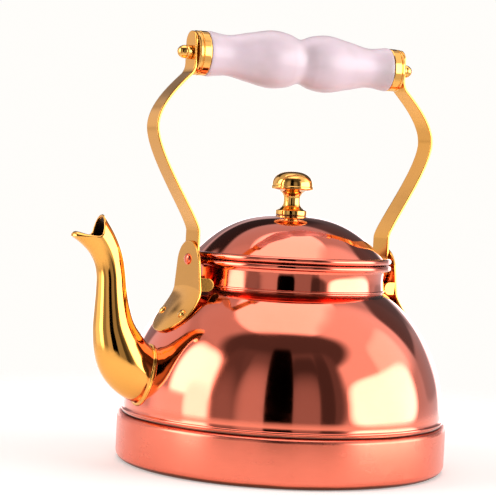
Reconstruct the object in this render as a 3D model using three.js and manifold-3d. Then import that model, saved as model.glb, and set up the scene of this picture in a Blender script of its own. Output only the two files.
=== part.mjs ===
// Stovetop kettle with a swan-neck spout and a bail handle. Millimetres, +Z up.
// The origin is the centre of the flat underside, the spout points along -X and the
// handle stands in the XZ plane, so the whole kettle is symmetric about Y = 0.
import * as THREE from 'three';
import { mergeVertices } from 'three/addons/utils/BufferGeometryUtils.js';
import Module from 'manifold-3d';

const wasm = await Module();
wasm.setup();

// ---------------------------------------------------------------- driving dimensions

const SEAT_GAP = 0.3; // between faces that rest on each other
const SHANK_GAP = 0.3; // round a rivet, screw or rod in its hole
const SHEET = 1; // copper sheet of the body and lid
const BODY_SIDES = 36;
const SMALL_SIDES = 16;
const PIN_SIDES = 10;

// Base pan: flat underside, upright band, rolled shoulder and the lip inside the dome.
const BAND_RADIUS = 100;
const BAND_HEIGHT = 28.8;
const CORNER_RADIUS = 5.2;
const SHOULDER_RADIUS = 2.8;
const LIP_HEIGHT = 5.5;

// Dome: an upright foot, then a quarter ellipse that closes to the neck.
const DOME_INSET = 3;
const DOME_FOOT = 7.2; // height of the upright foot above the band
const DOME_HEIGHT = 70.6; // from the foot to the neck
const SPOUT_PORT = 0.72; // dome's opening for the spout over the spout's size
const HEM_RADIUS = 0.9;
const HEM_RISE = 2.2;
const HEM_FLARE = 3;

// Neck collar with a bead at its foot and a rolled rim.
const NECK_RADIUS = 58.5;
const NECK_HEIGHT = 17;
const NECK_TAIL = 3;
const BEAD_RADIUS = 0.8;
const RIM_ROLL = 1.9;
const RIM_OVERHANG = 1.9;

// Lid: rolled edge on the rim, domed crown, locating ring inside the neck.
const LID_RISE = 24;
const LID_FULLNESS = 2.65;
const LID_SHELF = 1.3;
const RING_CLEARANCE = 0.6;
const RING_SHEET = 0.9;
const RING_DEPTH = 10;

// Lid knob, heights above its base and radii.
const KNOB_FOOT_RADIUS = 9.6;
const KNOB_FOOT_HEIGHT = 2.6;
const KNOB_STEM_RADIUS = 5;
const KNOB_RIM_RADIUS = 12.9;
const KNOB_RIM_HEIGHT = 16.6;
const KNOB_RIM_SHEET = 1.2;
const KNOB_CAP_RADIUS = 12.4;
const KNOB_HEIGHT = 26.4;
const KNOB_SCREW_RADIUS = 2;
const KNOB_SCREW_DEPTH = 9;
const KNOB_SCREW_HEAD = 4;
const KNOB_WASHER_RADIUS = 7;
const WASHER_SHEET = 0.8;

// Spout: centre line from inside the dome to past the mouth, as distance outside the
// dome's radius, height above the dome's foot, and radius at each station; depth is its
// Y width over its radius.
const SPOUT_WALL = 1.1;
const SPOUT_STATIONS = [
  { out: -20, height: 11.5, radius: 16.4, depth: 0.9 },
  { out: -8, height: 16, radius: 16.4, depth: 0.9 },
  { out: 1.5, height: 20.6, radius: 16.7, depth: 0.9 },
  { out: 8, height: 26.6, radius: 16.4, depth: 0.92 },
  { out: 12.8, height: 35, radius: 15, depth: 0.94 },
  { out: 16.3, height: 45, radius: 12.6, depth: 0.97 },
  { out: 18, height: 56, radius: 10.5, depth: 1 },
  { out: 18.9, height: 67, radius: 9.1, depth: 1 },
  { out: 19.7, height: 77, radius: 8.5, depth: 1 },
  { out: 21.8, height: 86, radius: 8.6, depth: 1 },
  { out: 26.2, height: 94.5, radius: 9.2, depth: 0.98 },
  { out: 31.6, height: 101, radius: 10.2, depth: 0.94 },
  { out: 37.8, height: 107, radius: 11.6, depth: 0.9 },
  { out: 44.5, height: 113, radius: 13.2, depth: 0.86 },
];
const SPOUT_SIDES = 16;
const SPOUT_FLANGE_WIDTH = 1.6;
const SPOUT_FLANGE_SHEET = 0.8;
const MOUTH_NOTCH_OUT = 29;
const MOUTH_NOTCH_HEIGHT = 98.3; // above the dome's foot
const MOUTH_REACH = 60; // how far the cut runs past the mouth
const MOUTH_HOOD_LEAN = 0.18;

// Brackets: an upright plate beside the neck whose foot spreads over the dome.
const BRACKET_SHEET = 1.5;
const BRACKET_STANDOFF = 8; // plate's inner face outside the neck wall
const BRACKET_TOP_HALF_WIDTH = 12.6;
const BRACKET_FOOT_HALF_WIDTH = 20.5;
const BRACKET_ABOVE_PIVOT = 11;
const BRACKET_FOOT_DROP = 27; // foot's lowest edge below the dome's mouth
const BRACKET_BLEND = 9;
const EAR_LENGTH = 8;
const EAR_HEIGHT = 8;
const EAR_BELOW_PIVOT = 14.2; // ear's middle line

// Rivets
const FOOT_RIVET_SPREAD = 13;
const FOOT_RIVET_DROP = 16.2; // below the dome's mouth
const FOOT_RIVET_SHANK = 1.5;
const FOOT_RIVET_HEAD = 2.7;
const FOOT_RIVET_TAIL = 1.1; // height of its upset end
const PIVOT_SHANK = 2;
const PIVOT_HEAD = 3.4;
const PIVOT_TAIL = 0.6; // kept low, so that it clears the rims
const PIVOT_ABOVE_NECK = 16.1; // above the dome's mouth
const PIVOT_WASHER_RADIUS = 4.6;
const PIVOT_WASHER_SHEET = 0.5;
const HEAD_RISE = 0.55; // height of a rivet's domed head over its radius

// Bail handle: two brass straps, a porcelain grip on a tie rod.
const STRAP_WIDTH = 17.5; // at the pivot
const STRAP_TOP_WIDTH = 13.6; // at the grip
const STRAP_SHEET = 1.6;
const STRAP_TAIL = 12.4; // below the pivot
const STRAP_BOW = 29; // widest centre line, outside the pivot's
const STRAP_BOW_HEIGHT = 77.3; // above the pivot
const GRIP_HEIGHT = 121.6; // grip axis above the pivot
const STRAP_HEAD = 12.8; // top of the strap above the grip axis
const STRAP_ELBOW = 11; // strap's bend below the grip axis
const GRIP_HALF_LENGTH = 62.9;
const GRIP_DEPTH = 0.76; // Y width over height of the oval grip
const GRIP_END_RADIUS = 13.4;
const GRIP_NECK_RADIUS = 12.1;
const GRIP_NECK_PLACE = 0.78; // of the half length
const GRIP_BULGE_RADIUS = 17.4;
const GRIP_BULGE_PLACE = 0.27;
const GRIP_WAIST_RADIUS = 13.5;
const TENON_RADIUS = 10.6;
const TENON_LENGTH = 5;
const CUSHION_SHEET = 0.8;
const FERRULE_RADIUS = 13.2;
const FERRULE_WALL = 1.5;
const FERRULE_GROOVE = 0.7;
const ROD_RADIUS = 2.5;
const NUT_RADIUS = 4.2;
const NUT_LENGTH = 8;

// ---------------------------------------------------------------- derived dimensions

const domeRadius = BAND_RADIUS - DOME_INSET;
const domeSpring = BAND_HEIGHT + DOME_FOOT;
const neckFoot = domeSpring + DOME_HEIGHT;
const domeRise = DOME_HEIGHT / Math.sqrt(1 - (NECK_RADIUS / domeRadius) ** 2);
const rimCentre = neckFoot + NECK_HEIGHT - RIM_ROLL;
const rimRadius = NECK_RADIUS + RIM_OVERHANG;
const lidEdgeHeight = rimCentre + 2 * RIM_ROLL + SEAT_GAP;
const shelfHeight = lidEdgeHeight + LID_SHELF;
const crownHeight = shelfHeight + LID_RISE;
const knobBase = crownHeight + SEAT_GAP;
const plateInner = NECK_RADIUS + BRACKET_STANDOFF;
const plateOuter = plateInner + BRACKET_SHEET;
const strapPivot = plateInner - SEAT_GAP - STRAP_SHEET / 2;
const strapBow = strapPivot + STRAP_BOW;
const pivotHeight = neckFoot + PIVOT_ABOVE_NECK;
const gripAxis = pivotHeight + GRIP_HEIGHT;
const ferruleInner = GRIP_HALF_LENGTH + SEAT_GAP;
const ferruleOuter =
  ferruleInner + TENON_LENGTH + CUSHION_SHEET + SEAT_GAP + FERRULE_WALL;
const strapEnd = ferruleOuter + SEAT_GAP + STRAP_SHEET / 2;
const nutSeat = strapEnd + STRAP_SHEET / 2 + SEAT_GAP;

// ---------------------------------------------------------------- solids

// Turns a closed geometry into a manifold solid whose faces point out.
function solid(geometry) {
  const bare = new THREE.BufferGeometry();
  bare.setAttribute('position', geometry.getAttribute('position'));
  bare.setIndex(geometry.getIndex());
  const merged = mergeVertices(bare, 1e-3);
  const index = merged.index.array;
  const triangles = [];
  for (let i = 0; i < index.length; i += 3) {
    const [a, b, c] = [index[i], index[i + 1], index[i + 2]];
    if (a !== b && b !== c && c !== a) triangles.push([a, b, c]);
  }
  const build = (faces) =>
    new wasm.Manifold(
      new wasm.Mesh({
        numProp: 3,
        vertProperties: merged.attributes.position.array,
        triVerts: new Uint32Array(faces.flat()),
      }),
    );
  const made = build(triangles);
  return made.volume() > 0 ? made : build(triangles.map(([a, b, c]) => [a, c, b]));
}

function meshOf(name, body, material) {
  const { vertProperties, triVerts } = body.getMesh();
  const geometry = new THREE.BufferGeometry();
  geometry.setAttribute('position', new THREE.BufferAttribute(vertProperties, 3));
  geometry.setIndex(new THREE.BufferAttribute(triVerts, 1));
  geometry.computeVertexNormals();
  const mesh = new THREE.Mesh(geometry, material);
  mesh.name = name;
  return mesh;
}

const point = (x, y) => new THREE.Vector2(x, y);

// Points of an arc from one angle to another, in degrees.
function arc(x, y, radius, from, to, steps) {
  return Array.from({ length: steps + 1 }, (_, i) => {
    const angle = THREE.MathUtils.degToRad(from + ((to - from) * i) / steps);
    return point(x + radius * Math.cos(angle), y + radius * Math.sin(angle));
  });
}

// The line that runs beside an open outline at a distance, on its left for a positive one.
function beside(outline, distance) {
  return outline.map((here, i) => {
    const before = outline[Math.max(i - 1, 0)];
    const after = outline[Math.min(i + 1, outline.length - 1)];
    const inward = here.clone().sub(before).normalize();
    const outward = after.clone().sub(here).normalize();
    if (i === 0) inward.copy(outward);
    if (i === outline.length - 1) outward.copy(inward);
    const mean = inward.clone().add(outward).normalize();
    const reach = distance / Math.max(mean.dot(inward), 0.3);
    return point(here.x - mean.y * reach, here.y + mean.x * reach);
  });
}

// Closed outline of a sheet of even thickness along an open outline.
const sheetOutline = (outline, thickness) => [
  ...outline,
  ...beside(outline, thickness).reverse(),
];

// A solid of revolution about Z from an outline of radius and height.
function turned(outline, sides) {
  const closed = [...outline];
  const touchesAxis = outline[0].x < 1e-6 && outline[outline.length - 1].x < 1e-6;
  if (!touchesAxis) closed.push(outline[0].clone());
  return solid(new THREE.LatheGeometry(closed, sides).rotateX(Math.PI / 2));
}

// Carries a solid that was turned about Z, or placed along it, to another axis.
function along(body, direction, origin) {
  const turn = new THREE.Quaternion().setFromUnitVectors(
    new THREE.Vector3(0, 0, 1),
    direction.clone().normalize(),
  );
  const place = new THREE.Matrix4().compose(origin, turn, new THREE.Vector3(1, 1, 1));
  return body.transform(place.elements);
}

// Carries a solid that was turned about Z to an axis along X at a height.
const alongX = (body, height) =>
  along(body, new THREE.Vector3(1, 0, 0), new THREE.Vector3(0, 0, height));

const stretchedY = (body, ratio) => body.scale([1, ratio, 1]);
const mirroredX = (body) => body.mirror([1, 0, 0]);
const bar = (radius, from, to, sides) =>
  turned([point(0, from), point(radius, from), point(radius, to), point(0, to)], sides);

// Extrudes an XZ outline evenly to both sides of Y = 0.
function extrudedY(outline, width) {
  const shape = new THREE.Shape(outline);
  const made = new THREE.ExtrudeGeometry(shape, { depth: width, bevelEnabled: false });
  made.rotateX(Math.PI / 2).translate(0, width / 2, 0);
  return solid(made);
}

// Extrudes a YZ outline from one X to another.
function extrudedX(outline, from, to) {
  const shape = new THREE.Shape(outline);
  const made = new THREE.ExtrudeGeometry(shape, { depth: to - from, bevelEnabled: false });
  const axes = new THREE.Matrix4().makeBasis(
    new THREE.Vector3(0, 1, 0),
    new THREE.Vector3(0, 0, 1),
    new THREE.Vector3(1, 0, 0),
  );
  made.applyMatrix4(axes).translate(from, 0, 0);
  return solid(made);
}

// A closed solid between two sheets of points that share one grid.
function between(front, back) {
  const rows = front.length;
  const columns = front[0].length;
  const positions = [...front.flat(), ...back.flat()].flatMap((p) => p.toArray());
  const half = rows * columns;
  const index = [];
  const quad = (a, b, c, d) => index.push(a, b, c, a, c, d);
  const at = (i, j) => i * columns + j;
  for (let i = 0; i < rows - 1; i += 1) {
    for (let j = 0; j < columns - 1; j += 1) {
      quad(at(i, j), at(i, j + 1), at(i + 1, j + 1), at(i + 1, j));
      quad(
        half + at(i, j),
        half + at(i + 1, j),
        half + at(i + 1, j + 1),
        half + at(i, j + 1),
      );
    }
  }
  const border = [];
  for (let j = 0; j < columns - 1; j += 1) border.push(at(0, j));
  for (let i = 0; i < rows - 1; i += 1) border.push(at(i, columns - 1));
  for (let j = columns - 1; j > 0; j -= 1) border.push(at(rows - 1, j));
  for (let i = rows - 1; i > 0; i -= 1) border.push(at(i, 0));
  border.forEach((a, k) => {
    const b = border[(k + 1) % border.length];
    quad(b, a, half + a, half + b);
  });
  const made = new THREE.BufferGeometry();
  made.setAttribute('position', new THREE.Float32BufferAttribute(positions, 3));
  made.setIndex(index);
  return solid(made);
}

// ---------------------------------------------------------------- body

// Radius of the dome's outer face at a height.
function domeAt(height) {
  const share = Math.max(height - domeSpring, 0) / domeRise;
  return domeRadius * Math.sqrt(Math.max(1 - share * share, 0));
}

function domeCurve(steps) {
  const top = Math.asin((neckFoot - domeSpring) / domeRise);
  return Array.from({ length: steps + 1 }, (_, i) => {
    const angle = (top * i) / steps;
    return point(
      domeRadius * Math.cos(angle),
      domeSpring + domeRise * Math.sin(angle),
    );
  });
}

function basePan() {
  const lip = domeRadius - SHEET - SEAT_GAP;
  const shoulder = BAND_RADIUS - SHOULDER_RADIUS;
  const outline = [
    point(0, 0),
    ...arc(BAND_RADIUS - CORNER_RADIUS, CORNER_RADIUS, CORNER_RADIUS, -90, 0, 4),
    ...arc(shoulder, BAND_HEIGHT - SHOULDER_RADIUS, SHOULDER_RADIUS, 0, 90, 4),
    point(lip, BAND_HEIGHT),
    point(lip, BAND_HEIGHT + LIP_HEIGHT),
  ];
  return turned(sheetOutline(outline, SHEET), BODY_SIDES);
}

// The dome's outer outline from its foot, over the hem bead, to the mouth.
function domeOutline() {
  const foot = BAND_HEIGHT + SEAT_GAP;
  const hem = foot + HEM_RISE;
  const flareTop = hem + HEM_FLARE / 2;
  const mouth = NECK_RADIUS + SEAT_GAP;
  const mouthHeight = domeSpring + domeRise * Math.sqrt(1 - (mouth / domeRadius) ** 2);
  return [
    point(domeRadius + HEM_RADIUS / 2, foot),
    ...arc(domeRadius + HEM_RADIUS, hem, HEM_RADIUS, -110, 110, 4),
    point(domeRadius + HEM_RADIUS / 3, hem + HEM_FLARE / 3),
    point(domeRadius, flareTop),
    ...domeCurve(9).slice(1, -1).filter(({ y }) => y > flareTop),
    point(mouth, mouthHeight),
  ];
}

function domeShell() {
  const outer = domeOutline();
  const mouth = outer[outer.length - 1];
  const lining = [
    point(mouth.x, mouth.y - 1.5 * SHEET),
    ...domeCurve(7)
      .slice(0, -1)
      .reverse()
      .map(({ x, y }) => point(x - SHEET, y - (SHEET * (y - domeSpring)) / domeRise)),
    point(domeRadius - SHEET, outer[0].y),
  ];
  let shell = turned([...outer, ...lining], BODY_SIDES);
  shell = shell.subtract(spoutTube((station) => station.radius * SPOUT_PORT));
  for (const side of [-1, 1])
    for (const edge of [-1, 1]) shell = shell.subtract(footRivetHole(side, edge));
  return shell;
}

function neckCollar() {
  const bore = NECK_RADIUS - SHEET;
  const bead = neckFoot + SEAT_GAP + BEAD_RADIUS;
  const outline = [
    point(bore, neckFoot - NECK_TAIL),
    point(NECK_RADIUS, neckFoot - NECK_TAIL),
    ...arc(NECK_RADIUS, bead, BEAD_RADIUS, -90, 90, 4),
    point(NECK_RADIUS, rimCentre - 1.2 * RIM_ROLL),
    ...arc(rimRadius, rimCentre, RIM_ROLL, -120, 100, 7),
    point(bore, rimCentre + RIM_ROLL / 2),
  ];
  return turned(outline, BODY_SIDES);
}

// ---------------------------------------------------------------- lid

// Height of the lid's outer face at a radius: full near the middle, steep at the edge.
function lidAt(radius) {
  const share = Math.min(radius / (NECK_RADIUS - SHEET), 1);
  return shelfHeight + LID_RISE * (1 - share ** LID_FULLNESS);
}

function lidShell() {
  const dome = [0, 0.16, 0.32, 0.48, 0.62, 0.74, 0.85, 0.93, 1].map((share) => {
    const radius = share * (NECK_RADIUS - SHEET);
    return point(radius, lidAt(radius));
  });
  const edge = arc(rimRadius, lidEdgeHeight, RIM_ROLL, 70, -90, 6);
  const under = beside(dome, -SHEET).reverse();
  under[under.length - 1].x = 0;
  const tuck = point(rimRadius - RIM_ROLL, lidEdgeHeight);
  const outline = [...dome, ...edge, tuck, ...under];
  const hole = bar(
    KNOB_SCREW_RADIUS + SHANK_GAP,
    crownHeight - 5 * SHEET,
    crownHeight + SHEET,
    PIN_SIDES,
  );
  return turned(outline, BODY_SIDES).subtract(hole);
}

function locatingRing() {
  const outer = NECK_RADIUS - SHEET - RING_CLEARANCE;
  const inner = outer - RING_SHEET;
  const underside = lidAt(outer) - 1.6 * SHEET - SEAT_GAP;
  const bottom = rimCentre + RIM_ROLL - RING_DEPTH;
  const outline = [
    point(inner, bottom),
    point(outer, bottom),
    point(outer, underside),
    point(inner, underside),
  ];
  return turned(outline, BODY_SIDES);
}

function lidKnob() {
  const capFoot = KNOB_RIM_HEIGHT + KNOB_RIM_SHEET;
  const waist = (KNOB_FOOT_HEIGHT + KNOB_RIM_HEIGHT) / 2;
  const cap = [0.15, 0.45, 0.7, 0.9, 1].map((share) =>
    point(
      KNOB_CAP_RADIUS * Math.cos((share * Math.PI) / 2) ** 0.6,
      capFoot + (KNOB_HEIGHT - capFoot) * Math.sin((share * Math.PI) / 2),
    ),
  );
  cap[cap.length - 1].x = 0;
  const outline = [
    point(0, 0),
    point(KNOB_FOOT_RADIUS, 0),
    point(KNOB_FOOT_RADIUS, KNOB_FOOT_HEIGHT),
    point(KNOB_STEM_RADIUS + 1.6, KNOB_FOOT_HEIGHT + 1.4),
    point(KNOB_STEM_RADIUS, waist - 2),
    point(KNOB_STEM_RADIUS, waist + 1),
    point(KNOB_STEM_RADIUS + 2.2, KNOB_RIM_HEIGHT - 2.4),
    point(KNOB_RIM_RADIUS, KNOB_RIM_HEIGHT - 1),
    point(KNOB_RIM_RADIUS, KNOB_RIM_HEIGHT + 0.4),
    point(KNOB_CAP_RADIUS, capFoot),
    ...cap,
  ];
  const hole = bar(KNOB_SCREW_RADIUS + SHANK_GAP, -1, KNOB_SCREW_DEPTH, PIN_SIDES);
  return turned(outline, SMALL_SIDES).subtract(hole).translate([0, 0, knobBase]);
}

const washerTop = crownHeight - SHEET - SEAT_GAP;
const screwTop = knobBase + KNOB_SCREW_DEPTH - 1;

function knobWasher() {
  const bore = KNOB_SCREW_RADIUS + SHANK_GAP;
  const bottom = washerTop - WASHER_SHEET;
  const outline = [
    point(bore, bottom),
    point(KNOB_WASHER_RADIUS, bottom),
    point(KNOB_WASHER_RADIUS, washerTop),
    point(bore, washerTop),
  ];
  return turned(outline, SMALL_SIDES);
}

function knobScrew() {
  const seat = washerTop - WASHER_SHEET - SEAT_GAP;
  const outline = [
    point(0, seat - 0.6 * KNOB_SCREW_HEAD),
    point(0.6 * KNOB_SCREW_HEAD, seat - 0.6 * KNOB_SCREW_HEAD),
    point(KNOB_SCREW_HEAD, seat - 0.25 * KNOB_SCREW_HEAD),
    point(KNOB_SCREW_HEAD, seat),
    point(KNOB_SCREW_RADIUS, seat),
    point(KNOB_SCREW_RADIUS, screwTop),
    point(0, screwTop),
  ];
  return turned(outline, PIN_SIDES);
}

// ---------------------------------------------------------------- spout

// A tube of oval rings along the spout's centre line.
function spoutTube(radiusOf) {
  const centre = SPOUT_STATIONS.map(({ out, height }) =>
    point(-domeRadius - out, domeSpring + height),
  );
  const rings = SPOUT_STATIONS.map((station, i) => {
    const before = centre[Math.max(i - 1, 0)];
    const after = centre[Math.min(i + 1, centre.length - 1)];
    const run = after.clone().sub(before).normalize();
    const radius = radiusOf(station);
    return Array.from({ length: SPOUT_SIDES }, (_, k) => {
      const angle = (2 * Math.PI * k) / SPOUT_SIDES;
      const across = radius * Math.cos(angle);
      return new THREE.Vector3(
        centre[i].x - run.y * across,
        radius * station.depth * Math.sin(angle),
        centre[i].y + run.x * across,
      );
    });
  });
  const last = rings.length - 1;
  const positions = [
    ...rings.flat(),
    new THREE.Vector3(centre[0].x, 0, centre[0].y),
    new THREE.Vector3(centre[last].x, 0, centre[last].y),
  ].flatMap((p) => p.toArray());
  const [lowCap, highCap] = [rings.length * SPOUT_SIDES, rings.length * SPOUT_SIDES + 1];
  const index = [];
  for (let k = 0; k < SPOUT_SIDES; k += 1) {
    const next = (k + 1) % SPOUT_SIDES;
    index.push(lowCap, next, k);
    index.push(highCap, last * SPOUT_SIDES + k, last * SPOUT_SIDES + next);
    for (let i = 0; i < last; i += 1) {
      const [a, b] = [i * SPOUT_SIDES + k, i * SPOUT_SIDES + next];
      index.push(a, b, b + SPOUT_SIDES, a, b + SPOUT_SIDES, a + SPOUT_SIDES);
    }
  }
  const made = new THREE.BufferGeometry();
  made.setAttribute('position', new THREE.Float32BufferAttribute(positions, 3));
  made.setIndex(index);
  return solid(made);
}

// The dome's solid outer form, grown by a distance.
function domeForm(grow) {
  const skin = beside(domeOutline(), -grow);
  const [foot, mouth] = [skin[0], skin[skin.length - 1]];
  const closed = [point(0, 0), point(foot.x, 0), ...skin, point(0, mouth.y)];
  return turned(closed, BODY_SIDES);
}

// A wedge in front of the mouth: flat lower lip, leaning hood.
function mouthWedge() {
  const notch = -domeRadius - MOUTH_NOTCH_OUT;
  const lip = domeSpring + MOUTH_NOTCH_HEIGHT;
  const outline = [
    point(notch, lip),
    point(notch + MOUTH_HOOD_LEAN * MOUTH_REACH, lip + MOUTH_REACH),
    point(notch - MOUTH_REACH, lip + MOUTH_REACH),
    point(notch - MOUTH_REACH, lip),
  ];
  return extrudedY(outline, MOUTH_REACH);
}

function spout() {
  const skin = spoutTube(({ radius }) => radius);
  const bore = spoutTube(({ radius }) => radius - SPOUT_WALL);
  const flange = spoutTube(({ radius }) => radius + SPOUT_FLANGE_WIDTH).intersect(
    domeForm(SEAT_GAP + SPOUT_FLANGE_SHEET),
  );
  return skin
    .add(flange)
    .subtract(bore)
    .subtract(mouthWedge())
    .subtract(domeForm(SEAT_GAP));
}

// ---------------------------------------------------------------- brackets and rivets

// Larger of two values with their meeting rounded over a width.
function roundedMax(a, b, width) {
  const near = Math.max(width - Math.abs(a - b), 0) / width;
  return Math.max(a, b) + (near * near * width) / 4;
}

// Distance of the bracket's inner face from the YZ plane.
function bracketFace(y, z) {
  const dome = Math.sqrt(Math.max((domeAt(z) + SEAT_GAP) ** 2 - y * y, 0));
  return roundedMax(plateInner, dome, BRACKET_BLEND);
}

// Point on the bracket at a height over its inner face, and the face's outward normal.
function bracketPoint(y, z, lift) {
  const step = 0.05;
  const slopeY = (bracketFace(y + step, z) - bracketFace(y - step, z)) / (2 * step);
  const slopeZ = (bracketFace(y, z + step) - bracketFace(y, z - step)) / (2 * step);
  const normal = new THREE.Vector3(1, -slopeY, -slopeZ).normalize();
  const spot = new THREE.Vector3(bracketFace(y, z), y, z).addScaledVector(normal, lift);
  return { spot, normal };
}

const bracketTop = pivotHeight + BRACKET_ABOVE_PIVOT;
const bracketBottom = neckFoot - BRACKET_FOOT_DROP;

// Half width of the bracket's outline at a height: it widens evenly downwards, and both
// ends are rounded.
function bracketHalfWidth(z) {
  const share = (bracketTop - z) / (bracketTop - bracketBottom);
  const straight = THREE.MathUtils.lerp(
    BRACKET_TOP_HALF_WIDTH,
    BRACKET_FOOT_HALF_WIDTH,
    Math.min(share * 1.25, 1),
  );
  const toTop = Math.min((bracketTop - z) / BRACKET_TOP_HALF_WIDTH, 1);
  const toBottom = Math.min((z - bracketBottom) / (0.8 * BRACKET_FOOT_HALF_WIDTH), 1);
  const rounding = (left) => (1 - (1 - left) ** 2.2) ** (1 / 2.2);
  return straight * rounding(toTop) * rounding(toBottom);
}

// The strap stays straight above the pivot until it is past the plate's edge, also when
// the handle lies on the ears.
const strapStraight = bracketHalfWidth(pivotHeight - 0.6 * STRAP_WIDTH) + SEAT_GAP;

// Rows of the plate as shares of its height from the top, closest where it bends.
const PLATE_ROWS = [
  0.004, 0.03, 0.1, 0.2, 0.34, 0.46, 0.54, 0.62, 0.7, 0.78, 0.86, 0.93, 0.98, 0.998,
];

function bracketPlate() {
  const heights = PLATE_ROWS.map((share) =>
    THREE.MathUtils.lerp(bracketTop, bracketBottom, share),
  );
  const across = [-1, -0.6, 0, 0.6, 1];
  const face = (lift) =>
    heights.map((z) =>
      across.map((share) => bracketPoint(share * bracketHalfWidth(z), z, lift).spot),
    );
  return between(face(BRACKET_SHEET), face(0));
}

// A tab bent inwards from the plate's edge, on which the lowered handle comes to rest.
function bracketEar(edge) {
  const middle = pivotHeight - EAR_BELOW_PIVOT;
  const tip = plateInner - EAR_LENGTH + EAR_HEIGHT / 2;
  const outline = [
    point(plateOuter - 0.2, middle - EAR_HEIGHT / 2),
    point(plateOuter - 0.2, middle + EAR_HEIGHT / 2),
    ...arc(tip, middle, EAR_HEIGHT / 2, 90, 270, 6),
  ];
  const top = bracketHalfWidth(middle + EAR_HEIGHT / 2) - BRACKET_SHEET / 2;
  return extrudedY(outline, BRACKET_SHEET).translate([0, edge * top, 0]);
}

function bracket(side) {
  let plate = bracketPlate().add(bracketEar(-1)).add(bracketEar(1));
  const hole = bar(PIVOT_SHANK + SHANK_GAP, strapPivot, plateOuter + SHEET, PIN_SIDES);
  plate = plate.subtract(alongX(hole, pivotHeight));
  if (side < 0) plate = mirroredX(plate);
  for (const edge of [-1, 1]) plate = plate.subtract(footRivetHole(side, edge));
  return plate;
}

// Where a foot rivet passes through the bracket's inner face, and which way it points.
function footRivetPlace(side, edge) {
  const z = neckFoot - FOOT_RIVET_DROP;
  const { spot, normal } = bracketPoint(edge * FOOT_RIVET_SPREAD, z, 0);
  spot.x *= side;
  normal.x *= side;
  return { spot, normal };
}

function footRivetHole(side, edge) {
  const { spot, normal } = footRivetPlace(side, edge);
  return along(bar(FOOT_RIVET_SHANK + SHANK_GAP, -6, 6, PIN_SIDES), normal, spot);
}

// A rivet along Z: shank, domed head above and upset tail below.
function rivet(shank, head, tail, top, bottom) {
  const dome = (radius, rise, level) =>
    [1, 0.8, 0.45, 0].map((share) =>
      point(radius * share, level + rise * Math.sqrt(1 - share ** 2)),
    );
  const outline = [
    ...dome(head * 0.95, -tail, bottom).reverse(),
    point(shank, bottom),
    point(shank, top),
    ...dome(head, head * HEAD_RISE, top),
  ];
  return turned(outline, PIN_SIDES);
}

function footRivet(side, edge) {
  const { spot, normal } = footRivetPlace(side, edge);
  const top = BRACKET_SHEET + SEAT_GAP;
  const bottom = -SHEET - 3 * SEAT_GAP;
  const body = rivet(FOOT_RIVET_SHANK, FOOT_RIVET_HEAD, FOOT_RIVET_TAIL, top, bottom);
  return along(body, normal, spot);
}

const washerOuter = strapPivot - STRAP_SHEET / 2 - SEAT_GAP;

function pivotRivet(side) {
  const top = plateOuter + SEAT_GAP;
  const bottom = washerOuter - PIVOT_WASHER_SHEET - SEAT_GAP;
  const body = rivet(PIVOT_SHANK, PIVOT_HEAD, PIVOT_TAIL, top, bottom);
  const made = alongX(body, pivotHeight);
  return side < 0 ? mirroredX(made) : made;
}

// A ring about an axis along X.
function ringX(inner, outer, from, to, height, sides) {
  const outline = [point(inner, from), point(outer, from), point(outer, to), point(inner, to)];
  return alongX(turned(outline, sides), height);
}

function pivotWasher(side) {
  const bore = PIVOT_SHANK + SHANK_GAP;
  const inner = washerOuter - PIVOT_WASHER_SHEET;
  const made = ringX(bore, PIVOT_WASHER_RADIUS, inner, washerOuter, pivotHeight, PIN_SIDES);
  return side < 0 ? mirroredX(made) : made;
}

// ---------------------------------------------------------------- handle

// Side view of a strap: upright at the pivot, bowed out, and bent upright at the grip.
function strapLine() {
  const tail = pivotHeight - STRAP_TAIL;
  const bowHeight = pivotHeight + STRAP_BOW_HEIGHT;
  const elbow = gripAxis - STRAP_ELBOW;
  const path = new THREE.Path();
  const clear = pivotHeight + strapStraight;
  path.moveTo(strapPivot, tail);
  path.lineTo(strapPivot, clear);
  path.bezierCurveTo(
    strapPivot,
    THREE.MathUtils.lerp(clear, bowHeight, 0.12),
    strapBow,
    THREE.MathUtils.lerp(clear, bowHeight, 0.72),
    strapBow,
    bowHeight,
  );
  const inset = strapBow - strapEnd;
  path.bezierCurveTo(
    strapBow,
    THREE.MathUtils.lerp(bowHeight, elbow, 0.36),
    strapEnd + 0.45 * inset,
    THREE.MathUtils.lerp(bowHeight, elbow, 0.72),
    strapEnd + 0.1 * inset,
    elbow - 0.08 * inset,
  );
  path.quadraticCurveTo(strapEnd, elbow + 0.05 * inset, strapEnd, elbow + 0.2 * inset);
  path.lineTo(strapEnd, gripAxis + STRAP_HEAD);
  return path.getPoints(9);
}

function handleStrap(side) {
  const line = strapLine();
  const left = beside(line, STRAP_SHEET / 2);
  const right = beside(line, -STRAP_SHEET / 2);
  const band = extrudedY([...left, ...right.reverse()], STRAP_WIDTH + 1);
  const [foot, head] = [STRAP_WIDTH / 2, STRAP_TOP_WIDTH / 2];
  const tapered = [
    ...arc(0, pivotHeight - STRAP_TAIL + foot, foot, 180, 360, 8),
    ...arc(0, gripAxis + STRAP_HEAD - head, head, 0, 180, 8),
  ];
  const outline = extrudedX(tapered, 0, strapBow + STRAP_WIDTH);
  const bolt = (radius, height) =>
    alongX(bar(radius + SHANK_GAP, 0, strapBow, PIN_SIDES), height);
  const made = band
    .intersect(outline)
    .subtract(bolt(PIVOT_SHANK, pivotHeight))
    .subtract(bolt(ROD_RADIUS, gripAxis));
  return side < 0 ? mirroredX(made) : made;
}

// Carries an outline of radius against distance along X onto the grip's oval axis.
function onGripAxis(outline, sides) {
  return stretchedY(alongX(turned(outline, sides), 0), GRIP_DEPTH);
}

// A bar along X, centred on the YZ plane, at a height.
const barX = (radius, reach, height) => alongX(bar(radius, -reach, reach, PIN_SIDES), height);
const rodHole = () => barX(ROD_RADIUS + SHANK_GAP, 2 * GRIP_HALF_LENGTH, 0);

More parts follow.
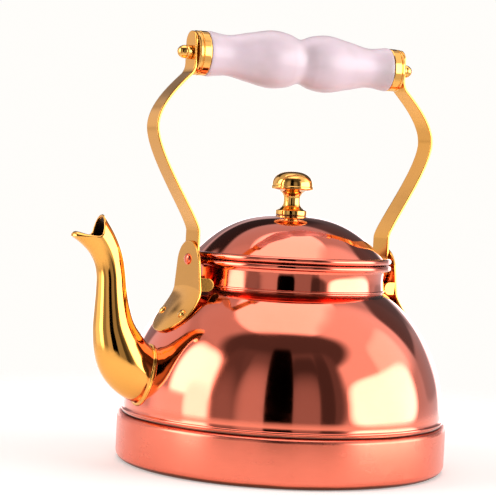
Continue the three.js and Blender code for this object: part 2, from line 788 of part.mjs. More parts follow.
function grip() {
  const knots = [
    point(GRIP_WAIST_RADIUS, 0),
    point((GRIP_WAIST_RADIUS + 2 * GRIP_BULGE_RADIUS) / 3, 0.13 * GRIP_HALF_LENGTH),
    point(GRIP_BULGE_RADIUS, GRIP_BULGE_PLACE * GRIP_HALF_LENGTH),
    point((GRIP_BULGE_RADIUS + GRIP_NECK_RADIUS) / 2, 0.55 * GRIP_HALF_LENGTH),
    point(GRIP_NECK_RADIUS, GRIP_NECK_PLACE * GRIP_HALF_LENGTH),
    point(GRIP_END_RADIUS, 0.97 * GRIP_HALF_LENGTH),
  ];
  const half = new THREE.SplineCurve(knots).getPoints(10);
  const end = [
    point(GRIP_END_RADIUS - 0.3, GRIP_HALF_LENGTH),
    point(TENON_RADIUS, GRIP_HALF_LENGTH),
    point(TENON_RADIUS, GRIP_HALF_LENGTH + TENON_LENGTH),
    point(0, GRIP_HALF_LENGTH + TENON_LENGTH),
  ];
  const right = [...half, ...end];
  const left = right.slice(1).map(({ x, y }) => point(x, -y)).reverse();
  const body = onGripAxis([...left, ...right], SMALL_SIDES);
  return body.subtract(rodHole()).translate([0, 0, gripAxis]);
}

function ferrule(side) {
  const bore = TENON_RADIUS + SEAT_GAP;
  const band = ferruleInner + 0.62 * (ferruleOuter - ferruleInner);
  const outline = [
    point(0, ferruleOuter - FERRULE_WALL),
    point(bore, ferruleOuter - FERRULE_WALL),
    point(bore, ferruleInner),
    point(FERRULE_RADIUS - 0.3, ferruleInner),
    point(FERRULE_RADIUS, ferruleInner + 0.5),
    point(FERRULE_RADIUS, band),
    point(FERRULE_RADIUS - FERRULE_GROOVE, band + 0.5),
    point(FERRULE_RADIUS - FERRULE_GROOVE, band + 0.9),
    point(FERRULE_RADIUS - 0.2, band + 1.5),
    point(FERRULE_RADIUS - 0.4, ferruleOuter - 0.4),
    point(FERRULE_RADIUS - 1, ferruleOuter),
    point(0, ferruleOuter),
  ];
  const made = onGripAxis(outline, SMALL_SIDES).subtract(rodHole());
  return (side < 0 ? mirroredX(made) : made).translate([0, 0, gripAxis]);
}

function cushionWasher(side) {
  const from = GRIP_HALF_LENGTH + TENON_LENGTH + SEAT_GAP;
  const outline = [
    point(0, from),
    point(TENON_RADIUS - 1, from),
    point(TENON_RADIUS - 1, from + CUSHION_SHEET - SEAT_GAP),
    point(0, from + CUSHION_SHEET - SEAT_GAP),
  ];
  const made = onGripAxis(outline, SMALL_SIDES).subtract(rodHole());
  return (side < 0 ? mirroredX(made) : made).translate([0, 0, gripAxis]);
}

const nutHole = 0.62 * NUT_LENGTH;

function tieRod() {
  return barX(ROD_RADIUS, nutSeat + nutHole - SEAT_GAP, gripAxis);
}

function acornNut(side) {
  const bore = ROD_RADIUS + SHANK_GAP;
  const shoulder = nutSeat + 0.4 * NUT_LENGTH;
  const cap = [0.3, 0.6, 0.85, 1].map((share) =>
    point(
      NUT_RADIUS * Math.cos((share * Math.PI) / 2),
      shoulder + 0.6 * NUT_LENGTH * Math.sin((share * Math.PI) / 2),
    ),
  );
  cap[cap.length - 1].x = 0;
  const outline = [
    point(0, nutSeat + nutHole),
    point(bore, nutSeat + nutHole),
    point(bore, nutSeat),
    point(NUT_RADIUS, nutSeat),
    point(NUT_RADIUS, shoulder),
    ...cap,
  ];
  const made = alongX(turned(outline, PIN_SIDES), gripAxis);
  return side < 0 ? mirroredX(made) : made;
}

// ---------------------------------------------------------------- assembly

const finish = (color, roughness, metalness) =>
  new THREE.MeshStandardMaterial({ color, roughness, metalness });
const polishedCopper = finish(0xd27a5c, 0.12, 1);
const satinCopper = finish(0xcf7658, 0.35, 1);
const brass = finish(0xd9a441, 0.18, 1);
const porcelain = finish(0xe9dcdc, 0.15, 0);
const steel = finish(0x9a9a9c, 0.35, 1);
const cork = finish(0x8a6a48, 0.9, 0);

const kettle = new THREE.Group();
const place = (name, body, material) => kettle.add(meshOf(name, body, material));

place('base_pan', basePan(), satinCopper);
place('dome_shell', domeShell(), polishedCopper);
place('neck_collar', neckCollar(), polishedCopper);
place('spout', spout(), brass);
place('lid_shell', lidShell(), polishedCopper);
place('lid_locating_ring', locatingRing(), polishedCopper);
place('lid_knob', lidKnob(), brass);
place('knob_washer', knobWasher(), brass);
place('knob_screw', knobScrew(), steel);
for (const [side, word] of [
  [-1, 'front'],
  [1, 'rear'],
]) {
  place(`bracket_${word}`, bracket(side), brass);
  place(`foot_rivet_${word}_right`, footRivet(side, -1), brass);
  place(`foot_rivet_${word}_left`, footRivet(side, 1), brass);
  place(`pivot_rivet_${word}`, pivotRivet(side), polishedCopper);
  place(`pivot_washer_${word}`, pivotWasher(side), brass);
  place(`handle_strap_${word}`, handleStrap(side), brass);
  place(`grip_ferrule_${word}`, ferrule(side), brass);
  place(`cushion_washer_${word}`, cushionWasher(side), cork);
  place(`acorn_nut_${word}`, acornNut(side), brass);
}
place('grip', grip(), porcelain);
place('tie_rod', tieRod(), steel);

export default kettle;
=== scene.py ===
"""Copper stovetop kettle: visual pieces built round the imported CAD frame.

Lengths inside the sub-assemblies are millimetres, as on a workshop drawing; the mesh
writer turns them into metres. The frame has +Z up, the spout along -X and the upright
handle in the XZ plane.
"""

import logging
import math
from dataclasses import dataclass, field
from enum import Enum
from typing import Callable, Sequence

import bmesh
import bpy
import numpy as np
from mathutils import Matrix, Vector

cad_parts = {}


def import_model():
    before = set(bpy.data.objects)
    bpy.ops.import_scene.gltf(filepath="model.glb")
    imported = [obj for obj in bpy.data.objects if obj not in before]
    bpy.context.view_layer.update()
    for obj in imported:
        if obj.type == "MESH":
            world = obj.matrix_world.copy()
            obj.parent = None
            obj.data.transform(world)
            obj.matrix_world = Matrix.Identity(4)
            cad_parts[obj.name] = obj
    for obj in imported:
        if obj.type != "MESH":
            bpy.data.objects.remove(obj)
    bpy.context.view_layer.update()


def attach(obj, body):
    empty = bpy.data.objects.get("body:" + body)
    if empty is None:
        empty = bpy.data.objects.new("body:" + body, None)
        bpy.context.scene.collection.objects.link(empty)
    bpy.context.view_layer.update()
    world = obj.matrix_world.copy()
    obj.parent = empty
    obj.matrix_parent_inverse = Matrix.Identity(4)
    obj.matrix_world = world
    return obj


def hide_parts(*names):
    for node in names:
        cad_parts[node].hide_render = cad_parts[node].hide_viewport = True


Array = np.ndarray
Colour = tuple[float, float, float]
LOG = logging.getLogger("kettle")
MM = 0.001
ROUND_SEGMENTS = 256
SMALL_SEGMENTS = 72
SHARP_ANGLE = math.radians(38)
WELD = 2e-6
SIDES = ((-1, "front"), (1, "rear"))


# ------------------------------------------------------------------ numpy shapes


@dataclass(frozen=True)
class Skin:
    """A surface given as a grid of points in millimetres.

    Each direction of the grid either stays open or closes on itself, and the rows from
    lined_from on are the inside of a vessel or a tube.
    """

    points: Array
    close_rows: bool = False
    close_columns: bool = True
    lined_from: int | None = None

    def quads(self) -> Array:
        """Corner numbers of every grid cell, as an array of four columns."""
        cells = self._cells()
        rows, columns = self.points.shape[:2]
        return (cells[..., 0] % rows) * columns + cells[..., 1] % columns

    def flow(self) -> Array:
        """UV of every cell corner: metres run across the columns and down the rows."""
        cells = self._cells()
        across = self._run(1)[cells[..., 1]]
        down = self._run(0)[cells[..., 0]]
        return np.stack([across, down], -1) * MM

    def inside(self) -> Array:
        """1 at the points of the lined rows and 0 elsewhere."""
        rows, columns = self.points.shape[:2]
        first = rows if self.lined_from is None else self.lined_from
        return np.repeat((np.arange(rows) >= first).astype(np.float32), columns)

    def _cells(self) -> Array:
        """Row and column of the four corners of each cell, not yet wrapped round."""
        rows, columns = self.points.shape[:2]
        row, column = np.meshgrid(
            np.arange(rows - (not self.close_rows)),
            np.arange(columns - (not self.close_columns)),
            indexing="ij",
        )
        corner_row = np.stack([row, row, row + 1, row + 1], -1)
        corner_column = np.stack([column, column + 1, column + 1, column], -1)
        return np.stack([corner_row, corner_column], -1).reshape(-1, 4, 2)

    def _run(self, axis: int) -> Array:
        """Mean distance run along one direction of the grid, from its first line."""
        wrapped = np.concatenate([self.points, self.points.take([0], axis)], axis)
        steps = np.linalg.norm(np.diff(wrapped, axis=axis), axis=2)
        return np.concatenate([[0.0], np.cumsum(steps.mean(axis=1 - axis))])


def lay_mesh(name: str, skins: Sequence[Skin]) -> bpy.types.Object:
    """Writes surfaces into one mesh, welds their seams and turns the faces outwards.

    Args:
        name: the new object's name.
        skins: grids of points in millimetres.

    Returns:
        The object, at the origin, with its place in its mesh.
    """
    starts = np.cumsum([0] + [skin.points[..., 0].size for skin in skins[:-1]])
    points = np.concatenate([skin.points.reshape(-1, 3) for skin in skins]) * MM
    quads = np.concatenate([s.quads() + start for s, start in zip(skins, starts)])
    flow = np.concatenate([skin.flow() for skin in skins])
    mesh = bpy.data.meshes.new(name)
    mesh.vertices.add(len(points))
    mesh.vertices.foreach_set("co", points.astype(np.float32).ravel())
    mesh.loops.add(quads.size)
    mesh.loops.foreach_set("vertex_index", quads.astype(np.int32).ravel())
    mesh.polygons.add(len(quads))
    mesh.polygons.foreach_set("loop_start", np.arange(0, quads.size, 4, dtype=np.int32))
    mesh.uv_layers.new(name="flow").data.foreach_set(
        "uv", flow.astype(np.float32).ravel()
    )
    lining = mesh.attributes.new("inside", "FLOAT", "POINT")
    lining.data.foreach_set("value", np.concatenate([skin.inside() for skin in skins]))
    mesh.update(calc_edges=True)
    shell = bmesh.new()
    shell.from_mesh(mesh)
    bmesh.ops.remove_doubles(shell, verts=shell.verts, dist=WELD)
    bmesh.ops.recalc_face_normals(shell, faces=shell.faces)
    shell.to_mesh(mesh)
    shell.free()
    mesh.polygons.foreach_set("use_smooth", np.ones(len(mesh.polygons), bool))
    mesh.set_sharp_from_angle(angle=SHARP_ANGLE)
    made = bpy.data.objects.new(name, mesh)
    bpy.context.scene.collection.objects.link(made)
    return made


def thinned(line: Array, least: float = 1e-4) -> Array:
    """Drops each point of a line that lies on the one before it."""
    steps = np.linalg.norm(np.diff(line, axis=0), axis=1)
    return line[np.concatenate([[True], steps > least])]


def rounded(
    corners: Array, radii: float | Array, closed: bool = False, steps: int = 7
) -> Array:
    """Rounds the corners of a profile.

    Each corner becomes a parabola between two points set back along its sides by the
    radius over the tangent of half the corner's angle, and a support point stands
    beside each end of it so that the flat faces shade flat.

    Args:
        corners: profile points, one per row.
        radii: rounding radius, one for all corners or one each.
        closed: whether the last point joins the first.
        steps: points along each rounding.

    Returns:
        The rounded profile.
    """
    corners = np.asarray(corners, float)
    radii = np.broadcast_to(np.asarray(radii, float), len(corners)).copy()
    before, after = np.roll(corners, 1, 0), np.roll(corners, -1, 0)
    if not closed:
        radii[[0, -1]] = 0
    back, ahead = before - corners, after - corners
    back_length = np.linalg.norm(back, axis=1) + 1e-9
    ahead_length = np.linalg.norm(ahead, axis=1) + 1e-9
    back, ahead = back / back_length[:, None], ahead / ahead_length[:, None]
    cosine = np.clip((back * ahead).sum(1), -0.9999, 0.9999)
    half = np.arccos(cosine) / 2
    setback = np.minimum(radii / np.tan(half), 0.42 * np.minimum(back_length, ahead_length))
    share = np.linspace(0, 1, steps)[None, :, None]
    start = corners + back * setback[:, None]
    end = corners + ahead * setback[:, None]
    curve = (
        (1 - share) ** 2 * start[:, None]
        + 2 * share * (1 - share) * corners[:, None]
        + share**2 * end[:, None]
    )
    support = 0.15 * setback[:, None]
    lead, trail = start + back * support, end + ahead * support
    line = np.concatenate([lead[:, None], curve, trail[:, None]], 1)
    return thinned(line.reshape(-1, corners.shape[1]))


def smooth_line(knots: Array, count: int) -> Array:
    """Passes a Catmull-Rom curve through knots, evenly spaced by chord length.

    Args:
        knots: points of any dimension, one per row.
        count: points wanted.

    Returns:
        The curve's points.
    """
    knots = np.asarray(knots, float)
    chord = np.linalg.norm(np.diff(knots[:, :2], axis=0), axis=1)
    place = np.concatenate([[0], np.cumsum(chord)])
    want = np.linspace(0, place[-1], count)
    slope = np.gradient(knots, place, axis=0)
    span = np.clip(np.searchsorted(place, want, side="right") - 1, 0, len(chord) - 1)
    length = chord[span][:, None]
    t = (want - place[span])[:, None] / length
    return (
        (2 * t**3 - 3 * t**2 + 1) * knots[span]
        + (t**3 - 2 * t**2 + t) * length * slope[span]
        + (3 * t**2 - 2 * t**3) * knots[span + 1]
        + (t**3 - t**2) * length * slope[span + 1]
    )


def arc(centre: tuple[float, float], radius: float, turn: tuple[float, float], steps: int) -> Array:
    """Points of an arc round a centre between two angles in degrees."""
    angle = np.radians(np.linspace(*turn, steps))
    return np.stack(
        [centre[0] + radius * np.cos(angle), centre[1] + radius * np.sin(angle)], -1
    )


def turned(
    profile: Array,
    segments: int = ROUND_SEGMENTS,
    closed: bool = True,
    lined_from: int | None = None,
) -> Skin:
    """Turns a profile of radius and height about Z.

    Args:
        profile: points of radius and height.
        segments: columns round the axis.
        closed: whether the profile joins its own start.
        lined_from: first profile point of the inside, if the piece has one.

    Returns:
        The surface of revolution.
    """
    angle = np.linspace(0, 2 * math.pi, segments, endpoint=False)
    radius, height = profile[:, :1], profile[:, 1:2]
    x, y = radius * np.cos(angle), radius * np.sin(angle)
    z = np.broadcast_to(height, x.shape)
    return Skin(np.stack([x, y, z], -1), close_rows=closed, lined_from=lined_from)


def lined(outside: Array, inside: Array) -> Skin:
    """Turns an outside profile and the lined inside that follows it as one skin."""
    return turned(np.concatenate([outside, inside]), lined_from=len(outside))


def along_x(skin: Skin, height: float, side: int = 1, depth: float = 1.0) -> Skin:
    """Lays a surface turned about Z along the X axis at a height.

    Args:
        skin: the surface turned about Z.
        height: height of its axis in the frame.
        side: 1 keeps it on +X, -1 mirrors it to -X.
        depth: Y width over Z height.

    Returns:
        The surface in its place.
    """
    x, y, z = np.moveaxis(skin.points, -1, 0)
    placed = np.stack([side * z, depth * y, height + x], -1)
    return Skin(placed, skin.close_rows, skin.close_columns)


def towards(skin: Skin, spot: Array, normal: Array) -> Skin:
    """Moves a surface turned about Z so that its foot is on a spot and it follows a normal."""
    axis = normal / np.linalg.norm(normal)
    first = np.cross(axis, [0.0, 0.0, 1.0])
    first = first / np.linalg.norm(first)
    frame = np.stack([first, np.cross(axis, first), axis])
    return Skin(skin.points @ frame + spot, skin.close_rows, skin.close_columns)


def plate(
    half_outline: Array,
    spine: tuple[float, float],
    sheet: float,
    edge: float,
    place: Callable[[Array, Array, Array], Array],
    rows: int = 12,
) -> Skin:
    """Builds a flat-sided plate with rounded edges and bends it into place.

    The plate is drawn in two dimensions: from a middle line, straight up its centre,
    each column runs out to one point of the outline. It climbs over the rounded rim
    and returns on the other face, and a last rule carries every point to space.

    Args:
        half_outline: points (across, along) of the right half, from one tip to the other.
        spine: lowest and highest place of the middle line along the plate.
        sheet: thickness.
        edge: radius of the rounded rim.
        place: takes across, along and lift, and gives points in space.
        rows: rows on each face.

    Returns:
        The closed surface.
    """
    left = half_outline[::-1][1:-1] * [-1, 1]
    outline = np.concatenate([half_outline, left])
    middle = np.stack([np.zeros(len(outline)), np.clip(outline[:, 1], *spine)], -1)
    outward = outline - middle
    outward = outward / np.maximum(np.linalg.norm(outward, axis=1), 1e-6)[:, None]
    inner = outline - edge * outward
    face = middle + np.linspace(0, 1, rows)[:, None, None] ** 0.8 * (inner - middle)
    turn = np.radians(np.linspace(0, 90, 6))[1:]
    inset, fall = edge * (1 - np.sin(turn)), edge * (1 - np.cos(turn))
    rim = outline[None] - inset[:, None, None] * outward
    flat = np.concatenate([face, rim, rim[::-1], face[::-1]])
    lift = np.concatenate([np.full(rows, sheet), sheet - fall, fall[::-1], np.zeros(rows)])
    lift = np.broadcast_to(lift[:, None], flat.shape[:2])
    return Skin(place(flat[..., 0], flat[..., 1], lift))


def strip(
    low_half: float, high_half: float, length: float, steps: int
) -> tuple[Array, tuple[float, float]]:
    """Right half of an evenly tapering strip with round ends.

    Args:
        low_half: half width and end radius at the start.
        high_half: half width and end radius at the far end.
        length: whole length.
        steps: points along the straight side.

    Returns:
        The half outline, and the two ends of its middle line.
    """
    low = arc((0, low_half), low_half, (-90, 0), 18)
    high = arc((0, length - high_half), high_half, (0, 90), 18)
    share = np.linspace(0, 1, steps)[1:-1, None]
    side = low[-1] + (high[0] - low[-1]) * share
    return np.concatenate([low, side, high]), (low_half, length - high_half)


# ------------------------------------------------------------------ shader building


class Sock:
    """A shader output that takes part in arithmetic by adding Math nodes."""

    def __init__(self, shader: "Shader", out: bpy.types.NodeSocket) -> None:
        """Wraps one output of a shader."""
        self.shader = shader
        self.out = out

    def math(self, operation: str, *others: "Sock | float", swap: bool = False) -> "Sock":
        """Adds a Math node on this value and others; swap puts this value second."""
        values = [self, *others]
        if swap:
            values.reverse()
        node = self.shader.add(
            "ShaderNodeMath", {"operation": operation}, dict(enumerate(values))
        )
        return Sock(self.shader, node.outputs[0])

    def __add__(self, other: "Sock | float") -> "Sock":
        """Sum."""
        return self.math("ADD", other)

    def __sub__(self, other: "Sock | float") -> "Sock":
        """Difference."""
        return self.math("SUBTRACT", other)

    def __rsub__(self, other: float) -> "Sock":
        """Difference from a number."""
        return self.math("SUBTRACT", other, swap=True)

    def __mul__(self, other: "Sock | float") -> "Sock":
        """Product."""
        return self.math("MULTIPLY", other)

    __radd__ = __add__
    __rmul__ = __mul__

    def step(self, low: float, high: float) -> "Sock":
        """Rises smoothly from 0 at low to 1 at high."""
        node = self.shader.add(
            "ShaderNodeMapRange",
            {"interpolation_type": "SMOOTHSTEP"},
            {"Value": self, "From Min": low, "From Max": high},
        )
        return Sock(self.shader, node.outputs[0])


class Shader:
    """The node tree of one material or of the world, and the few calls that build it."""

    def __init__(self, owner: bpy.types.Material | bpy.types.World) -> None:
        """Empties the owner's node tree."""
        self.owner = owner
        owner.use_nodes = True
        self.tree = owner.node_tree
        self.tree.nodes.clear()

    @classmethod
    def material(cls, name: str) -> "Shader":
        """Starts a new material."""
        return cls(bpy.data.materials.new(name))

    def add(
        self,
        kind: str,
        settings: dict[str, object] | None = None,
        inputs: dict[str | int, object] | None = None,
    ) -> bpy.types.Node:
        """Adds a node.

        Args:
            kind: node type.
            settings: properties set first.
            inputs: socket name or number to a number, vector or Sock.

        Returns:
            The node.
        """
        node = self.tree.nodes.new(kind)
        for key, value in (settings or {}).items():
            setattr(node, key, value)
        for key, value in (inputs or {}).items():
            if isinstance(value, Sock):
                self.tree.links.new(value.out, node.inputs[key])
            else:
                node.inputs[key].default_value = value
        return node

    def place(self) -> Sock:
        """Object coordinates, in metres."""
        return Sock(self, self.add("ShaderNodeTexCoord").outputs["Object"])

    def flow(self) -> Sock:
        """The piece's own UV, in metres."""
        return Sock(self, self.add("ShaderNodeUVMap", {"uv_map": "flow"}).outputs[0])

    def vector(self, operation: str, *values: object) -> Sock:
        """Adds a Vector Math node and gives its first live output."""
        node = self.add(
            "ShaderNodeVectorMath", {"operation": operation}, dict(enumerate(values))
        )
        return Sock(self, node.outputs["Value" if operation == "LENGTH" else "Vector"])

    def parts(self, vector: Sock) -> tuple[Sock, Sock, Sock]:
        """The three parts of a vector."""
        node = self.add("ShaderNodeSeparateXYZ", inputs={0: vector})
        return Sock(self, node.outputs[0]), Sock(self, node.outputs[1]), Sock(self, node.outputs[2])

    def joined(self, x: object, y: object, z: object) -> Sock:
        """A vector from three values."""
        return Sock(self, self.add("ShaderNodeCombineXYZ", inputs={0: x, 1: y, 2: z}).outputs[0])

    def noise(
        self, vector: Sock, scale: float, detail: float = 2.0, rough: float = 0.5
    ) -> Sock:
        """Soft noise from 0 to 1 in three dimensions."""
        node = self.add(
            "ShaderNodeTexNoise",
            {"noise_dimensions": "3D"},
            {"Vector": vector, "Scale": scale, "Detail": detail, "Roughness": rough},
        )
        return Sock(self, node.outputs[0])

    def attribute(self, name: str) -> Sock:
        """A number stored on the mesh's points."""
        return Sock(self, self.add("ShaderNodeAttribute", {"attribute_name": name}).outputs["Fac"])

    def blend(self, share: Sock, first: Colour | Sock, second: Colour | Sock) -> Sock:
        """Mixes two colours."""
        inputs: dict[str | int, object] = {0: share}
        for key, value in ((6, first), (7, second)):
            inputs[key] = value if isinstance(value, Sock) else (*value, 1.0)
        node = self.add("ShaderNodeMix", {"data_type": "RGBA"}, inputs)
        return Sock(self, node.outputs[2])

    def bump(self, height: Sock, depth: float) -> Sock:
        """A normal from a height of 0 to 1 times a depth in metres."""
        node = self.add(
            "ShaderNodeBump", inputs={"Height": height, "Distance": depth, "Strength": 1.0}
        )
        return Sock(self, node.outputs[0])

    def surface(self, inputs: dict[str | int, object]) -> bpy.types.Material:
        """Ends the material with a Principled shader."""
        shader = self.add("ShaderNodeBsdfPrincipled", inputs=inputs)
        self.add("ShaderNodeOutputMaterial", inputs={0: Sock(self, shader.outputs[0])})
        return self.owner


class Grain(Enum):
    """How a metal's tool marks run."""

    TURNED = "rings about the kettle's axis"
    TURNED_X = "rings about the grip's axis"
    DRAWN = "along the strip"
    HAND = "worked by hand, with no direction"


@dataclass(frozen=True)
class Metal:
    """A worked metal: polished or brushed, with its tool marks, random tarnished patches and
    painted shade along its seams.
    """

    name: str
    bright: Colour
    dull: Colour
    grain: Grain
    polish: float
    haze: float
    line_depth: float
    ripple_depth: float
    ripple_size: float
    coat: float = 0.0
    # heights and reaches in mm of the seams and creases whose colour is darkened as painted shade
    joints: tuple[tuple[float, float], ...] = ()
    axis_height: float = 0.0
    # deep brown of the painted shade in the seams and creases
    seam_shade: Colour = (0.16, 0.045, 0.02)
    # colour of the inside: a grey lining on the copper pieces; the spout's near-black one is
    # painted shade in its bore
    lining: Colour = (0.60, 0.57, 0.53)

    def material(self) -> bpy.types.Material:
        """Builds the material.

        Fine lines follow the grain, a slow ripple bends the reflections as hand-worked
        sheet does, haze is a soft cloud of wear in the polish, and tarnished patches fall
        at random. Painted shade darkens the colour round the heights where the metal meets
        another piece, deepest in the crease itself. The inside has a colour of its own: a
        grey lining in the copper pieces and painted shade in the spout's bore.

        Returns:
            The finished material.
        """
        shader = Shader.material(self.name)
        place = shader.place()
        lines = self._lines(shader, place)
        cloud = shader.noise(place, 28.0, 4.0, 0.6)
        ripple = shader.noise(place, 1 / self.ripple_size, 1.5, 0.45)
        smear = shader.noise(shader.vector("MULTIPLY", place, (1.0, 1.0, 2.6)), 75.0, 3.0)
        # mask: faint random tarnished patches plus painted shade along the seams
        tarnish_and_shade = self._tarnish_and_seam_shade(shader, place, cloud)
        worn = (cloud.step(0.42, 0.72) * 0.6 + smear.step(0.5, 0.8) * 0.4)
        rough = self.polish + worn * self.haze + (lines - 0.5) * (0.5 * self.haze)
        rough = rough + tarnish_and_shade * 0.22
        # tone: random cloud and grain lines, plus painted shade along the seams
        tone = (cloud * 0.55 + lines * 0.25 + tarnish_and_shade * 0.9).step(0.2, 1.1)
        colour = shader.blend(tone, self.bright, self.dull)
        # painted shade: the colour goes deep brown where the seam mask is high
        colour = shader.blend(tarnish_and_shade.step(0.25, 0.7) * 0.95, colour, self.seam_shade)
        # the inside's colour: a grey lining in the copper pieces, painted shade in the spout's bore
        inside = shader.attribute("inside")
        colour = shader.blend(inside, colour, self.lining)
        rough = rough + inside * (0.34 + 0.1 * cloud)
        normal = shader.bump(
            lines * self.line_depth + ripple * self.ripple_depth, 1.0
        )
        return shader.surface(
            {
                "Base Color": colour,
                "Metallic": 1.0,
                "Roughness": rough.math("MAXIMUM", 0.02),
                "Normal": normal,
                "Coat Weight": self.coat,
                "Coat Roughness": 0.04,
            }
        )

    def _lines(self, shader: Shader, place: Sock) -> Sock:
        """Noise drawn out along the grain."""
        x, y, z = shader.parts(place)
        if self.grain is Grain.TURNED:
            radius = shader.vector("LENGTH", shader.vector("MULTIPLY", place, (1, 1, 0)))
            fine = shader.joined(radius * 5200.0, z * 5200.0, (x + y) * 60.0)
        elif self.grain is Grain.TURNED_X:
            centred = shader.vector("ADD", place, (0, 0, -self.axis_height))
            radius = shader.vector("LENGTH", shader.vector("MULTIPLY", centred, (0, 1, 1)))
            fine = shader.joined(radius * 4200.0, x * 4200.0, (y + z) * 60.0)
        elif self.grain is Grain.DRAWN:
            fine = shader.vector("MULTIPLY", place, (90.0, 5200.0, 90.0))
        else:
            fine = shader.vector("MULTIPLY", place, (900.0, 900.0, 900.0))
        return shader.noise(fine, 1.0, 3.0, 0.6)

    def _tarnish_and_seam_shade(self, shader: Shader, place: Sock, cloud: Sock) -> Sock:
        """Mask of painted shade, 1 where the metal meets another piece and fading to 0 away from
        it, over faint random tarnished patches.
        """
        height = shader.parts(place)[2] + (cloud - 0.5) * 0.002
        # faint random tarnished patches, the metal's own tone
        total: Sock | float = (cloud - 0.5).step(0.16, 0.4) * 0.3
        # painted shade round each seam height, darkest at the crease itself
        for level, reach in self.joints:
            away = (height - level * MM).math("ABSOLUTE")
            total = total + (1 - away.step(0.0, reach * MM)) * 0.8
        return total.math("MINIMUM", 1.0)


@dataclass(frozen=True)
class Glaze:
    """Glossy white porcelain with faint pinholes, its colour spread in soft random patches between
    a lit copy and a shaded, pinker copy: painted shade tinted by reflected copper.
    """

    name: str = "white_porcelain"
    light: Colour = (0.75, 0.61, 0.66)
    shade: Colour = (0.54, 0.45, 0.45)

    def material(self) -> bpy.types.Material:
        """Builds the material."""
        shader = Shader.material(self.name)
        place = shader.place()
        bloom = shader.noise(shader.vector("MULTIPLY", place, (0.6, 1.0, 1.0)), 42.0, 3.0)
        fine = shader.noise(place, 420.0, 2.0)
        pits = shader.add(
            "ShaderNodeTexVoronoi", inputs={"Vector": place, "Scale": 260.0}
        )
        pit = 1 - Sock(shader, pits.outputs["Distance"]).step(0.03, 0.1)
        # painted shade: soft random patches take the shaded copy of the colour
        colour = shader.blend(bloom.step(0.35, 0.75), self.light, self.shade)
        return shader.surface(
            {
                "Base Color": colour,
                "Roughness": 0.34 + fine * 0.1,
                "Coat Weight": 0.35,
                "Coat Roughness": 0.16,
                "Subsurface Weight": 0.12,
                "Subsurface Scale": 0.004,
                "Normal": shader.bump(bloom * 1.0 - pit * 0.12, 0.00025),
            }
        )


@dataclass(frozen=True)
class PressedCork:
    """Brown granules of pressed cork."""

    name: str = "pressed_cork"

    def material(self) -> bpy.types.Material:
        """Builds the material."""
        shader = Shader.material(self.name)
        place = shader.place()
        grains = shader.add(
            "ShaderNodeTexVoronoi", inputs={"Vector": place, "Scale": 900.0}
        )
        tone = Sock(shader, grains.outputs["Distance"])
        speck = shader.noise(place, 1500.0, 3.0)
        colour = shader.blend(
            (tone + speck * 0.5).step(0.2, 1.1), (0.42, 0.26, 0.13), (0.20, 0.11, 0.05)
        )
        return shader.surface(
            {
                "Base Color": colour,
                "Roughness": 0.75 + speck * 0.2,
                "Normal": shader.bump(tone, 0.0003),
            }
        )


COPPER_BRIGHT = (0.93, 0.205, 0.115)
COPPER_DULL = (0.82, 0.15, 0.07)
BRASS_BRIGHT = (0.93, 0.45, 0.09)
BRASS_DULL = (0.78, 0.34, 0.06)
GRIP_AXIS = 244.3


class Slot(Enum):
    """The record's material slots, each with its finish."""

    SATIN_COPPER = Metal(
        "satin_copper", (0.86, 0.215, 0.135), (0.78, 0.15, 0.08), Grain.TURNED,
        polish=0.24, haze=0.12, line_depth=1.6e-6, ripple_depth=3e-5, ripple_size=0.03,
        # painted shade at the band's shoulder and along the foot where the pan stands on the floor
        joints=((29.4, 1.6), (1.0, 3.0)),
    )
    POLISHED_COPPER = Metal(
        "polished_copper", COPPER_BRIGHT, COPPER_DULL, Grain.TURNED,
        polish=0.055, haze=0.07, line_depth=3e-7, ripple_depth=7e-5, ripple_size=0.035,
        # painted shade in the hem groove, the crease under the collar and the gap between the
        # neck's rim and the lid's edge
        coat=0.7, joints=((29.3, 1.4), (105.2, 2.4), (123.75, 0.9)),
    )
    RIVET_COPPER = Metal(
        "rivet_copper", COPPER_BRIGHT, COPPER_DULL, Grain.HAND,
        polish=0.12, haze=0.12, line_depth=4e-6, ripple_depth=2e-5, ripple_size=0.003,
    )
    SPOUT_BRASS = Metal(
        "spout_brass", BRASS_BRIGHT, BRASS_DULL, Grain.HAND,
        polish=0.05, haze=0.06, line_depth=4e-7, ripple_depth=6e-5, ripple_size=0.02,
        # near-black inside colour: painted shade in the spout's bore
        coat=0.2, lining=(0.035, 0.02, 0.012),
    )
    SHEET_BRASS = Metal(
        "sheet_brass", BRASS_BRIGHT, BRASS_DULL, Grain.DRAWN,
        polish=0.13, haze=0.12, line_depth=8e-7, ripple_depth=5e-5, ripple_size=0.018,
    )
    TURNED_BRASS = Metal(
        "turned_brass", (0.92, 0.50, 0.13), BRASS_DULL, Grain.TURNED,
        polish=0.07, haze=0.08, line_depth=8e-7, ripple_depth=1e-5, ripple_size=0.01,
        # painted shade round the knob's foot where it stands on the lid
        joints=((150.9, 1.2),),
    )
    PORCELAIN = Glaze()
    STEEL = Metal(
        "plain_steel", (0.55, 0.55, 0.56), (0.34, 0.33, 0.32), Grain.TURNED,
        polish=0.3, haze=0.15, line_depth=2e-6, ripple_depth=1e-5, ripple_size=0.006,
    )
    CORK = PressedCork()

    @property
    def slot_name(self) -> str:
        """The slot's name in the record."""
        return self.name.lower()


class Workshop:
    """Makes each finish once and puts finished pieces into the frame."""

    def __init__(self) -> None:
        """Starts with no finish made."""
        self._made: dict[Slot, bpy.types.Material] = {}

    def finish(self, node: str, skins: Sequence[Skin], body: str, slot: Slot) -> bpy.types.Object:
        """Builds one piece that stands for one CAD node.

        Args:
            node: the CAD node it replaces.
            skins: its surfaces, in millimetres.
            body: the CAD body it rides on.
            slot: its finish.

        Returns:
            The finished piece.
        """
        if slot not in self._made:
            self._made[slot] = slot.value.material()
        made = lay_mesh(f"{node}_piece", skins)
        made.data.materials.append(self._made[slot])
        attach(made, body)
        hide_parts(node)
        slot.slot_name
        LOG.info("%s: %d faces, %s", made.name, len(made.data.polygons), slot.slot_name)
        return made


# ------------------------------------------------------------------ body of the kettle


